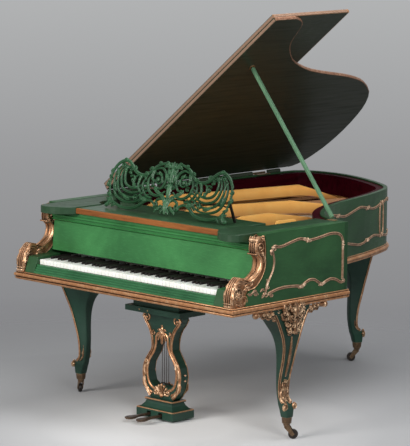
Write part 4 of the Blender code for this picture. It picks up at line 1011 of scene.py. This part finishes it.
# The curls between the leaves: u, z, radius and lift. The bosses: u, z, radius and height.
KNEE_CURLS = in_thousandths(
    (24, 574, 16, 26), (42, 540, 14, 16), (18, 530, 13, 24), (22, 610, 15, 32), (30, 504, 11, 12),
    (62, 590, 14, 14), (9, 500, 10, 16), (52, 564, 11, 14), (50, 614, 12, 18),
)
KNEE_BOSSES = in_thousandths((0, 560, 17, 26), (0, 598, 16, 32), (34, 586, 12, 18))
WING_LEAVES = [
    (60, 602, 92, 588, 126, 600, 28, 12, 4, 3), (104, 602, 136, 590, 168, 602, 24, 11, 4, 3),
    (146, 603, 176, 594, 202, 603, 20, 10, 4, 3), (72, 588, 96, 570, 120, 574, 24, 10, 3, 0),
    (116, 588, 138, 574, 162, 580, 20, 9, 3, 0), (156, 590, 176, 580, 194, 586, 16, 9, 3, 0),
    (86, 574, 100, 560, 114, 560, 16, 8, 2, 0),
]
WING_CURLS = in_thousandths(
    (92, 596, 10, 8), (128, 594, 9, 8), (156, 595, 8, 8), (182, 597, 7, 8), (106, 578, 9, 6),
    (142, 582, 7, 6),
)
ANKLE_LEAVES = [
    (0, 172, 0, 215, 0, 272, 30, 10, 5, 1), (5, 172, 20, 200, 19, 232, 20, 10, 3, 0),
    (4, 215, 16, 236, 13, 262, 16, 9, 3, 0), (8, 164, 22, 174, 28, 190, 17, 9, 2, 0),
]
ANKLE_CURLS = in_thousandths((14, 190, 8, 8), (10, 226, 7, 8), (6, 262, 6, 7))
WING_X = 0.010
# The carving lies a little deeper on the fuller left knee and on the back leg.
CARVING_LIFT = {"left": -0.022, "right": 0.0, "back": -0.012}
CORNER_RIB_Z = (0.166, 0.585)
FACE_RIB_Z = (0.285, 0.475)
STAND_UP = Matrix(((0, 0, 1), (1, 0, 0), (0, 1, 0))).to_4x4()


def draw_spray(leaves, curls, way):
    """One side of a leafy spray: leaves with small curls between them."""
    drawing = bmesh.new()
    add_leaves(drawing, leaves, way)
    for u, z, radius, lift in curls:
        ring = curl((way * u, z), radius, 90, 420 * way)
        band(drawing, [p + Vector((0, 0, lift)) for p in ring], ribbed(0.0058, 0.0075, 1, lift), tapering)
        button(drawing, (way * u, z, lift), radius * 0.34, 0.0070)
    return drawing


def leg_carving(levels, side):
    """All the gilding of one leg, in the leg's own frame: it faces +x."""
    bm = bmesh.new()
    for way in (-1, 1):
        corner = []
        for i in range(40):
            z = CORNER_RIB_Z[0] + (CORNER_RIB_Z[1] - CORNER_RIB_Z[0]) * i / 39
            front, wide = leg_front(levels, z)
            corner.append(Vector((front - 0.0025, way * (wide / 2 - 0.0025), z)))
        band(bm, corner, ribbed(0.0125, 0.0060, 2), out=(1, way, 0))
        scroll, size = bmesh.new(), 0.0200 if side == "back" else 0.0165
        volute(scroll, (0, 0), size, ribbed(0.0080, 0.0075, 1), 100 if way > 0 else 80, 430 * way)
        button(scroll, (0, 0), size, 0.0030)
        button(scroll, (0, 0), size / 3, 0.0095)
        add_drawing(bm, scroll, Matrix.Translation((0.017, way * 0.033, 0.149)) @ STAND_UP)
    rib = []
    for i in range(21):
        z = FACE_RIB_Z[0] + (FACE_RIB_Z[1] - FACE_RIB_Z[0]) * i / 20
        rib.append(Vector((leg_front(levels, z)[0], 0, z)))
    band(bm, rib, ribbed(0.0150, 0.0070, 2), pointed, out=(1, 0, 0))
    lift = CARVING_LIFT[side]
    bosses = bmesh.new()
    for u, z, radius, height in KNEE_BOSSES:
        for way in (1, -1) if u else (1,):
            button(bosses, (way * u, z), radius, height)
    lay_on_leg(bm, levels, bosses, lift)
    for leaves, curls in ((KNEE_LEAVES, KNEE_CURLS), (ANKLE_LEAVES, ANKLE_CURLS)):
        for way in (1, -1):
            lay_on_leg(bm, levels, draw_spray(leaves, curls, way), lift)
    for way in (1, -1) if side != "back" else ():
        spray = draw_spray(WING_LEAVES, WING_CURLS, way)
        add_drawing(bm, spray, Matrix.Translation((WING_X, 0, 0)) @ STAND_UP)
        spot = Matrix.Translation((WING_X + 0.004, way * 0.210, 0.5965))
        made = cone(bm, 24, 0.0135, 0.0085, 0.034, spot @ Matrix.Rotation(way * math.pi / 2, 4, "X"))
        rims = {e for v in made["verts"] for e in v.link_edges if e.calc_face_angle(0) > 1}
        ease(bm, list(rims), 0.002)
        button(bm, (WING_X + 0.004, way * 0.230, 0.5968), 0.0160, 0.0160)
    return bm


for side, (centre, facing) in LEG_PLACES.items():
    levels = leg_levels(side)
    turn = Matrix.Translation(HOME + Vector((*centre, 0))) @ Matrix.Rotation(math.radians(facing), 4, "Z")
    add_piece("cabriole_leg_" + side, leg_body(levels), shaded_leg_green, turn, ["leg_" + side])
    add_piece("leg_carving_" + side, leg_carving(levels, side), carved_gilt, turn, angle=50)
print("leg levels", len(levels))

# %% [markdown]
# The lyre's two arms are edged with gilt on both sides, with scrolls at their tops, a leaf that hangs from
# the arch between them and a shell between two curls at the bottom. The solid body stays. The gilding is
# drawn on a board that lies on its front face, and once more on its back.

# %% Lyre gilding
LYRE_FACES = {"front": 0.282, "back": 0.331}
LYRE_OUTER = drawn(
    118, 478, 105, 456, 85, 432, 70, 400, 61, 362, 63, 328, 83, 298, 109, 258, 119, 212, 110, 162,
    92, 125, 72, 104)
LYRE_INNER = drawn(
    0, 411, 22, 406, 37, 388, 41, 352, 52, 318, 78, 282, 92, 252, 97, 214, 87, 170, 66, 146, 44, 138)

LYRE_LEAVES = [
    (112, 190, 118, 160, 100, 128, 20, 6, 3, 0), (102, 250, 112, 225, 106, 196, 18, 6, 3, 0),
    (60, 118, 82, 122, 94, 142, 22, 7, 3, 0), (4, 404, 18, 394, 26, 372, 16, 6, 2, 0),
    (4, 410, 16, 424, 28, 420, 14, 5, 2, 0), (0, 420, 0, 396, 0, 356, 26, 9, 3, 0),
    (0, 410, 0, 430, 0, 448, 18, 6, 2, 0),
]
SHELL_Z = 0.112


def lyre_gilding():
    bm = bmesh.new()
    for way in (-1, 1):
        band(bm, smooth([(way * u, v) for u, v in LYRE_OUTER]), ribbed(0.0150, 0.0060, 2))
        band(bm, smooth([(way * u, v) for u, v in LYRE_INNER]), ribbed(0.0120, 0.0050, 1))
        volute(bm, (way * 0.098, 0.474), 0.025, ribbed(0.013, 0.007, 1), 0 if way > 0 else 180, 430 * way)
        volute(bm, (way * 0.038, 0.128), 0.021, ribbed(0.009, 0.006, 1), 90, 480 * way)
        volute(bm, (way * 0.102, 0.262), 0.015, ribbed(0.008, 0.006, 1), 270, -400 * way)
        volute(bm, (way * 0.052, 0.404), 0.012, ribbed(0.008, 0.006, 1), 90, -400 * way)
        add_leaves(bm, LYRE_LEAVES, way)
    for turn in range(-4, 5):
        angle = math.radians(90 + turn * 21)
        reach = 0.052 - 0.003 * abs(turn)
        u, rise = reach * math.cos(angle), reach * math.sin(angle)
        flute = smooth([(0, SHELL_Z), (u * 0.6, SHELL_Z + rise * 0.55), (u, SHELL_Z + rise)])
        band(bm, flute, ribbed(0.0105, 0.0085, 1), lambda share: 0.35 + 0.75 * share)
        button(bm, (u, SHELL_Z + rise), 0.0058, 0.0072)
    button(bm, (0, SHELL_Z), 0.012, 0.011)
    return bm


for face, y in LYRE_FACES.items():
    way = -1 if face == "front" else 1
    place = board((0, y, 0), (1, 0, 0), (0, 0, 1), (0, way, 0))
    add_piece("lyre_gilding_" + face, lyre_gilding(), copper_gilt, place, angle=50)
print("lyre gilding on", list(LYRE_FACES))

# %% [markdown]
# Two gilt beads edge the lyre's base, two knobs stand out on each of its sides, and two brass screws hold it
# under the piano.


# %% Lyre trims
def edge_frame(bm, half, front, back, z, width):
    """A thin gilt bead round a rectangular block's upper edge."""
    corners = [(-half, front), (half, front), (half, back), (-half, back), (-half, front)]
    bead = [(-width / 2, 0.0), (-width / 3, width / 2), (width / 3, width / 2), (width / 2, 0.0),
            (0.0, -width / 2)]
    for start, end in zip(corners, corners[1:]):
        band(bm, [Vector((*start, z)), Vector((*end, z))], bead)


bm = bmesh.new()
edge_frame(bm, 0.0895, 0.2615, 0.3515, 0.0905, 0.0085)
edge_frame(bm, 0.1175, 0.2370, 0.3745, 0.0480, 0.0075)
add_piece("lyre_base_edges", bm, copper_gilt, WHOLE)

bm = bmesh.new()
for side, z in ((1, 0.222), (1, 0.196), (-1, 0.232), (-1, 0.206)):
    neck = Matrix.Translation((side * 0.122, 0.306, z)) @ Matrix.Rotation(math.pi / 2, 4, "Y")
    cone(bm, 12, 0.0024, 0.0024, 0.014, neck)
    button(bm, (side * 0.131, 0.306, z), 0.0055, 0.0055)
add_piece("lyre_knobs", bm, rose_gilt, WHOLE)

bm = bmesh.new()
for x in (-0.085, -0.030):
    head = Matrix.Translation((x, 0.2145, 0.519)) @ Matrix.Rotation(math.pi / 2, 4, "X")
    cone(bm, 14, 0.0042, 0.0030, 0.0016, head)
add_piece("lyre_screws", bm, aged_brass, WHOLE)

# %% [markdown]
# The music desk is sawn and carved openwork: C and S scrolls with small leaves, held in a wavy outline, the
# same on both sides of a leafy crest. It is drawn as lines on the desk's leaning plane. Each line becomes a
# rounded band as thick as the board, so that the scrolls cross and touch as they do in the real fretwork.

# %% Music desk
DESK_LEAN = math.radians(17.3)
DESK_UP = Vector((0, math.sin(DESK_LEAN), math.cos(DESK_LEAN)))
DESK_FRONT = Vector((0, -math.cos(DESK_LEAN), math.sin(DESK_LEAN)))
DESK_BOARD = board((0, 0.292, 0.964), (1, 0, 0), DESK_UP, DESK_FRONT)
FRET = drawn(-7.2, 2, -6.2, 8.6, -3, 10.8, 0, 8.2, 3, 10.8, 6.2, 8.6, 7.2, 2, 5.5, 0, -5.5, 0)
OUTLINE = [
    (drawn(
        6, 238, 40, 244, 76, 237, 112, 221, 140, 194, 172, 176, 205, 174, 240, 186, 268, 210, 300, 230,
        334, 229, 366, 209, 388, 176, 396, 138, 392, 95, 378, 60), 1.15),
    (drawn(378, 64, 350, 30, 300, 12, 245, 8, 190, 20, 150, 48, 120, 60, 90, 52, 72, 32), 1.15),
]
SCROLLS = [
    (drawn(120, 206, 78, 218, 44, 200, 34, 164, 52, 126, 90, 116), 1.0),
    (drawn(120, 196, 146, 156, 136, 112, 98, 88, 56, 90, 26, 112), 1.0),
    (drawn(158, 174, 176, 140, 168, 104, 140, 80, 104, 74), 0.8),
    (drawn(186, 168, 206, 142, 202, 112, 178, 90, 152, 90), 0.8),
    (drawn(214, 172, 236, 158, 240, 132, 222, 112, 200, 112), 0.8),
    (drawn(12, 60, 36, 74, 64, 66, 76, 44), 0.9),
    (drawn(12, 150, 24, 176, 18, 206, 4, 224), 0.9),
    (drawn(386, 74, 372, 40, 382, 14, 398, 8), 0.9),
    (drawn(108, 70, 134, 72, 160, 60, 184, 42), 0.8),
]
# Curls as u, v and radius in millimetres, then the angle at their start, their turn and their thickness.
CURLS = [
    (84, 162, 30, 60, 460, 1.0), (250, 146, 20, 40, 430, 0.85), (330, 206, 15, 200, -400, 0.8),
    (72, 40, 17, 90, 420, 0.9), (150, 124, 17, 20, 430, 0.8), (22, 136, 14, 120, 420, 0.8),
    (206, 62, 15, 100, -430, 0.8), (400, 112, 14, 220, 400, 0.8), (398, 150, 11, 200, 380, 0.7),
    (390, 12, 12, 120, 420, 0.8), (116, 132, 12, 60, 400, 0.7), (276, 190, 12, 30, 400, 0.7),
]

# The fins in each lower corner repeat the outline, smaller and smaller, round one middle.
FIN_LINE = drawn(
    108, 70, 150, 52, 192, 24, 245, 12, 300, 16, 348, 34, 376, 66, 390, 108, 391, 150, 374, 190, 346, 214)
FIN_MIDDLE = Vector((0.215, 0.205, 0))
FIN_SIZES = (0.87, 0.75, 0.63, 0.51)

# Leaves as the root, the tip, a bend that pushes the middle of the leaf to its left, and a width.
DESK_LEAVES = in_thousandths(
    (4, 20, 22, 76, 6, 26), (10, 58, 52, 92, 8, 22), (18, 226, 60, 224, 8, 22),
    (112, 204, 120, 158, 8, 22), (130, 60, 186, 80, -8, 20), (240, 50, 292, 70, -6, 18),
    (190, 174, 202, 130, 6, 18), (290, 206, 306, 170, 8, 17), (364, 192, 352, 146, -6, 16),
    (48, 98, 96, 128, -8, 20), (4, 96, 14, 146, 8, 22), (340, 82, 354, 126, -6, 15),
    (10, 166, 34, 196, -6, 20), (6, 196, 30, 222, -6, 20), (30, 236, 52, 250, 4, 14),
    (78, 238, 100, 238, 4, 14), (126, 212, 150, 202, 5, 14), (236, 190, 252, 212, 4, 14),
    (306, 232, 330, 238, 4, 13), (384, 184, 398, 162, 5, 14), (396, 130, 404, 98, 4, 13),
    (360, 40, 394, 44, -6, 18), (350, 26, 376, 6, 6, 18), (330, 18, 352, 2, 4, 14),
    (366, 56, 398, 70, -5, 15), (20, 40, 48, 20, 6, 18), (40, 28, 66, 6, 6, 16), (8, 30, 26, 4, 4, 16),
    (60, 186, 86, 202, -5, 16), (46, 150, 58, 176, -5, 16), (106, 146, 126, 160, 5, 15),
    (70, 120, 100, 112, 5, 16), (160, 150, 176, 168, 4, 14), (222, 126, 240, 110, 4, 14),
    (262, 170, 284, 176, 4, 14), (150, 176, 178, 186, 5, 14),
)
CREST = drawn(-30, 238, -16, 249, 0, 254, 16, 249, 30, 238)


def bent_leaf(bm, root, tip, bend, width, way, lobes=3):
    """A leaf from its root to its tip, mirrored where way is -1."""
    root, tip = Vector(root).to_3d(), Vector(tip).to_3d()
    run = tip - root
    middle = (root + tip) / 2 + Vector((-run.y, run.x, 0)).normalized() * bend
    leaf(bm, [Vector((way * p.x, p.y, 0)) for p in (root, middle, tip)], width, 0.0055, lobes, 0.0065)


def fret(bm, points, thick, size=pointed):
    band(bm, points, [(a * thick, h) for a, h in FRET], size)


bm = bmesh.new()
for way in (-1, 1):
    for points, thick in OUTLINE + SCROLLS:
        fret(bm, smooth([(way * u, v) for u, v in points], 4), thick)
    for size in FIN_SIZES:
        fin = [FIN_MIDDLE + (Vector(p).to_3d() - FIN_MIDDLE) * size for p in FIN_LINE]
        fret(bm, smooth([(way * p.x, p.y) for p in fin], 4), 0.85)
    for *drawn_curl, start, turn, thick in CURLS:
        [(u, v, radius)] = in_thousandths(drawn_curl)
        spiral = curl((way * u, v), radius, start if way > 0 else 180 - start, turn * way)
        fret(bm, spiral, thick * 0.8, tapering)
        button(bm, (way * u, v, 0.0055), radius * 0.36, 0.0055)
    for *ends, bend, width in DESK_LEAVES:
        bent_leaf(bm, ends[:2], ends[2:], bend, width, way)
for tip in CREST:
    bent_leaf(bm, (tip[0] * 0.3, 0.222), tip, 0.0, 0.015, 1, 2)
for points, width in ((drawn(0, 150, 0, 186, 0, 228), 0.046), (drawn(0, 150, 0, 110, 0, 78), 0.044),
                      (drawn(0, 80, 0, 45, 0, 4), 0.046)):
    leaf(bm, points, width * 0.8, 0.0070, 5, 0.0040)
    fret(bm, smooth(points), 0.8)
bmesh.ops.translate(bm, verts=bm.verts, vec=(0, 0, 0.0005))
add_piece("openwork_desk", bm, desk_green, DESK_BOARD, ["music_desk"], 50, "music_desk")

# %% [markdown]
# The lid's front part folds back on the main part, so two painted edges lie one over the other at the fold.
# Each edge has a gilt moulding of two ribs. It is less than a millimetre high, because the two edges close
# against each other when the flap is unfolded. The flap's outer end has a still lower one, with a small
# scroll.

# %% Lid mouldings
LID_OPEN = math.radians(38.7)
LID_ALONG = Vector((math.cos(LID_OPEN), 0, math.sin(LID_OPEN)))
LID_NORMAL = Vector((-math.sin(LID_OPEN), 0, math.cos(LID_OPEN)))
LID_AXIS = (-0.7210, 0, 0.9800)
LID_THICK = 0.018
LID_WIDTH = 1.434
FLAP_LOW = LID_THICK + 0.0007
FOLD_RIBS = ribbed(0.0130, 0.0009, 2, 0.0)

for name, body, level, fold_y in (("lid_fold_gilding", "lid", 0.009, 0.6098),
                                  ("flap_fold_gilding", "lid_flap", FLAP_LOW + 0.009, 0.6103)):
    place = board(Vector(LID_AXIS) + Vector((0, fold_y, 0)), LID_ALONG, LID_NORMAL, (0, -1, 0))
    bm = bmesh.new()
    band(bm, [Vector((along, level, 0)) for along in (0.006, 0.7, LID_WIDTH - 0.004)], FOLD_RIBS)
    add_piece(name, bm, edge_gilt, place, body=body)

# A rail on top of the straight side closes the space under the hinged edge, with a break at each hinge.
RAIL_STEPS = ((0.618, 0.842), (0.958, 1.642), (1.758, 1.850))
RAIL_PROFILE = drawn(
    -720.6, 964.7, -720.6, 979, -720, 979.7, -712, 979.7, -708, 976.5, -706, 970, -706, 964.7)
bm = bmesh.new()
for start, end in RAIL_STEPS:
    loft(bm, [[(x, y, z) for x, z in RAIL_PROFILE] for y in (start, end)])
add_piece("hinge_rails", bm, shaded_flap_green, WHOLE)

bm = bmesh.new()
FLAP_SIDE = board(Vector(LID_AXIS) + LID_ALONG * (LID_WIDTH + 0.0016), (0, 1, 0), LID_NORMAL, LID_ALONG)
band(bm, [Vector((y, FLAP_LOW + 0.009, 0)) for y in (0.612, 0.870, 1.120)], ribbed(0.0150, 0.0005, 2, 0.0))
volute(bm, (0.626, FLAP_LOW + 0.009), 0.0062, ribbed(0.004, 0.0006, 1), 0, 400)
add_piece("flap_side_gilding", bm, edge_gilt, FLAP_SIDE, body="lid_flap")
print("lid is open", round(math.degrees(LID_OPEN), 1), "degrees")

# %% [markdown]
# Every wire is drawn on its own. The wires fan out from the tuning pins and run under the struts of the iron
# frame and over the bridge towards the curved side. Every wire is a thin six-sided rod, thicker and
# copper-wound in the bass. The struts lean at different angles, so a wire's lean is taken between its two
# neighbouring struts, and no wire crosses one.

# %% Strings and pins
STRING_Z = 0.870
STRING_FIELD = drawn(
    -600, 700, 460, 700, 460, 740, 280, 940, 180, 1180, 90, 1480, -50, 1760, -280, 1860, -560, 1860)
LEANS = [(-0.640, 0.10), (-0.560, 0.2170), (-0.260, 0.3967), (0.120, 0.2833), (0.405, 0.1667), (0.480, 0.12)]
STRUT_FEET = (-0.560, -0.260, 0.120, 0.405)
STRUT_CLEARANCE = 0.012
FIRST_STRING, STRING_PITCH, STRING_COUNT = -0.596, 0.0079, 132
STRINGS_FROM, STRINGS_BRIDGE = 0.592, 0.620
LAST_WOUND = -0.270
PIN_Y, PIN_STEP, PIN_Z = 0.548, 0.016, (0.8572, 0.884)


def lean_at(x):
    for (x0, lean0), (x1, lean1) in zip(LEANS, LEANS[1:]):
        if x <= x1:
            return lean0 + (lean1 - lean0) * (x - x0) / (x1 - x0)
    return LEANS[-1][1]


def in_field(x, y):
    """Whether a point lies over the strings' field, by counting the edges to its right."""
    inside = False
    for (x0, y0), (x1, y1) in zip(STRING_FIELD, STRING_FIELD[1:] + STRING_FIELD[:1]):
        if (y0 > y) != (y1 > y) and x < x0 + (x1 - x0) * (y - y0) / (y1 - y0):
            inside = not inside
    return inside


def rod(bm, start, end, radius, sides=6):
    run = Vector(end) - Vector(start)
    turn = run.to_track_quat("Z", "Y").to_matrix().to_4x4()
    middle = Matrix.Translation((Vector(end) + Vector(start)) / 2)
    cone(bm, sides, radius, radius, run.length, middle @ turn)


plain = bmesh.new()
wound = bmesh.new()
pins = bmesh.new()
strings_drawn = 0
for i in range(STRING_COUNT):
    x = FIRST_STRING + i * STRING_PITCH
    lean = lean_at(x)
    end_y = 0.705
    while in_field(x + lean * (end_y + 0.01 - STRINGS_BRIDGE), end_y + 0.01):
        end_y += 0.01
    if end_y < 0.72 or any(abs(x - foot) < STRUT_CLEARANCE for foot in STRUT_FEET):
        continue
    start = (x - lean * (STRINGS_BRIDGE - STRINGS_FROM), STRINGS_FROM, STRING_Z)
    end = (x + lean * (end_y - STRINGS_BRIDGE), end_y, STRING_Z)
    heavy = x < LAST_WOUND
    rod(wound if heavy else plain, start, end, 0.0016 if heavy else 0.0007)
    pin_y = PIN_Y + PIN_STEP * (i % 3)
    pin_x = x - lean * (STRINGS_BRIDGE - pin_y)
    rod(plain, (pin_x, pin_y, STRING_Z + 0.004), start, 0.0007)
    rod(pins, (pin_x, pin_y, PIN_Z[0]), (pin_x, pin_y, PIN_Z[1]), 0.0030, 8)
    strings_drawn += 1
add_piece("plain_strings", plain, string_wire.material, WHOLE, ["strings"])
add_piece("wound_strings", wound, wound_copper, WHOLE)
add_piece("tuning_pins", pins, wheel_iron, WHOLE)
print("strings", strings_drawn)

# %% [markdown]
# Narrow strips of red felt lie under the wires near their far ends, so that these don't ring.

# %% Felt under the strings' ends
FELT_Z = 0.8578
FELT_STRIPS = [((-0.560, 1.850), (-0.330, 1.858)), ((0.070, 1.500), (-0.040, 1.720)),
               ((0.300, 0.900), (0.200, 1.100))]
bm = bmesh.new()
for start, end in FELT_STRIPS:
    first, last = Vector((*start, FELT_Z)), Vector((*end, FELT_Z))
    band(bm, [first, first.lerp(last, 0.5), last], ribbed(0.030, 0.0050, 1, 0.0))
add_piece("string_felt", bm, felt.material, WHOLE)
print("felt strips", len(FELT_STRIPS))

# %% [markdown]
# The floor is plain, so that nothing competes with the piano, and keeps its shadow. Its colour carries a
# painted pool of light: palest in front of the keyboard and darker further out. It is a round sheet, and its
# outer part fades out into the grey sweep behind, so no horizon shows.

# %% Floor
FLOOR_RADIUS = 5.0
FLOOR_FADE = (1.9, 3.6)
# A painted pool of light: the floor's colour is palest round this spot and darker further from it.
POOL_OF_LIGHT = (0.20, -0.85)
FLOOR_TONES = [(0.12, (0.92, 0.92, 0.925)), (0.32, (0.57, 0.572, 0.58)), (0.48, (0.43, 0.432, 0.442)),
               (0.90, (0.33, 0.332, 0.342))]
floor_finish = Finish("pale_floor", 0.7)
floor_finish.shader.inputs["Specular IOR Level"].default_value = 0.1
away = add_node(floor_finish.tree, "VectorMath", floor_finish.coords, operation="DISTANCE")
away.inputs[1].default_value = (*POOL_OF_LIGHT, 0)
floor_tone = floor_finish.steps(floor_finish.span(away.outputs["Value"], 0.0, 2.0, 0.0, 1.0), FLOOR_TONES)
floor_clouds = floor_finish.steps(floor_finish.noise(0.8, 3), [(0.3, (0.96,) * 3), (0.7, (1.0,) * 3)])
floor_finish.colour(floor_finish.blend(1.0, floor_tone, floor_clouds, "MULTIPLY"))
clear = add_node(floor_finish.tree, "BsdfTransparent")
fade = floor_finish.span(away.outputs["Value"], *FLOOR_FADE, 0.0, 1.0)
faded = add_node(floor_finish.tree, "MixShader", fade, floor_finish.shader.outputs["BSDF"],
                 clear.outputs["BSDF"])
floor_finish.link(faded.outputs["Shader"], floor_finish.tree.nodes["Material Output"].inputs["Surface"])
bm = bmesh.new()
bmesh.ops.create_circle(bm, cap_ends=True, segments=96, radius=FLOOR_RADIUS)
floor_mesh = bpy.data.meshes.new("floor")
bm.to_mesh(floor_mesh)
bm.free()
floor_mesh.materials.append(floor_finish.material)
floor = add_object("floor", floor_mesh)
print("floor", FLOOR_RADIUS)
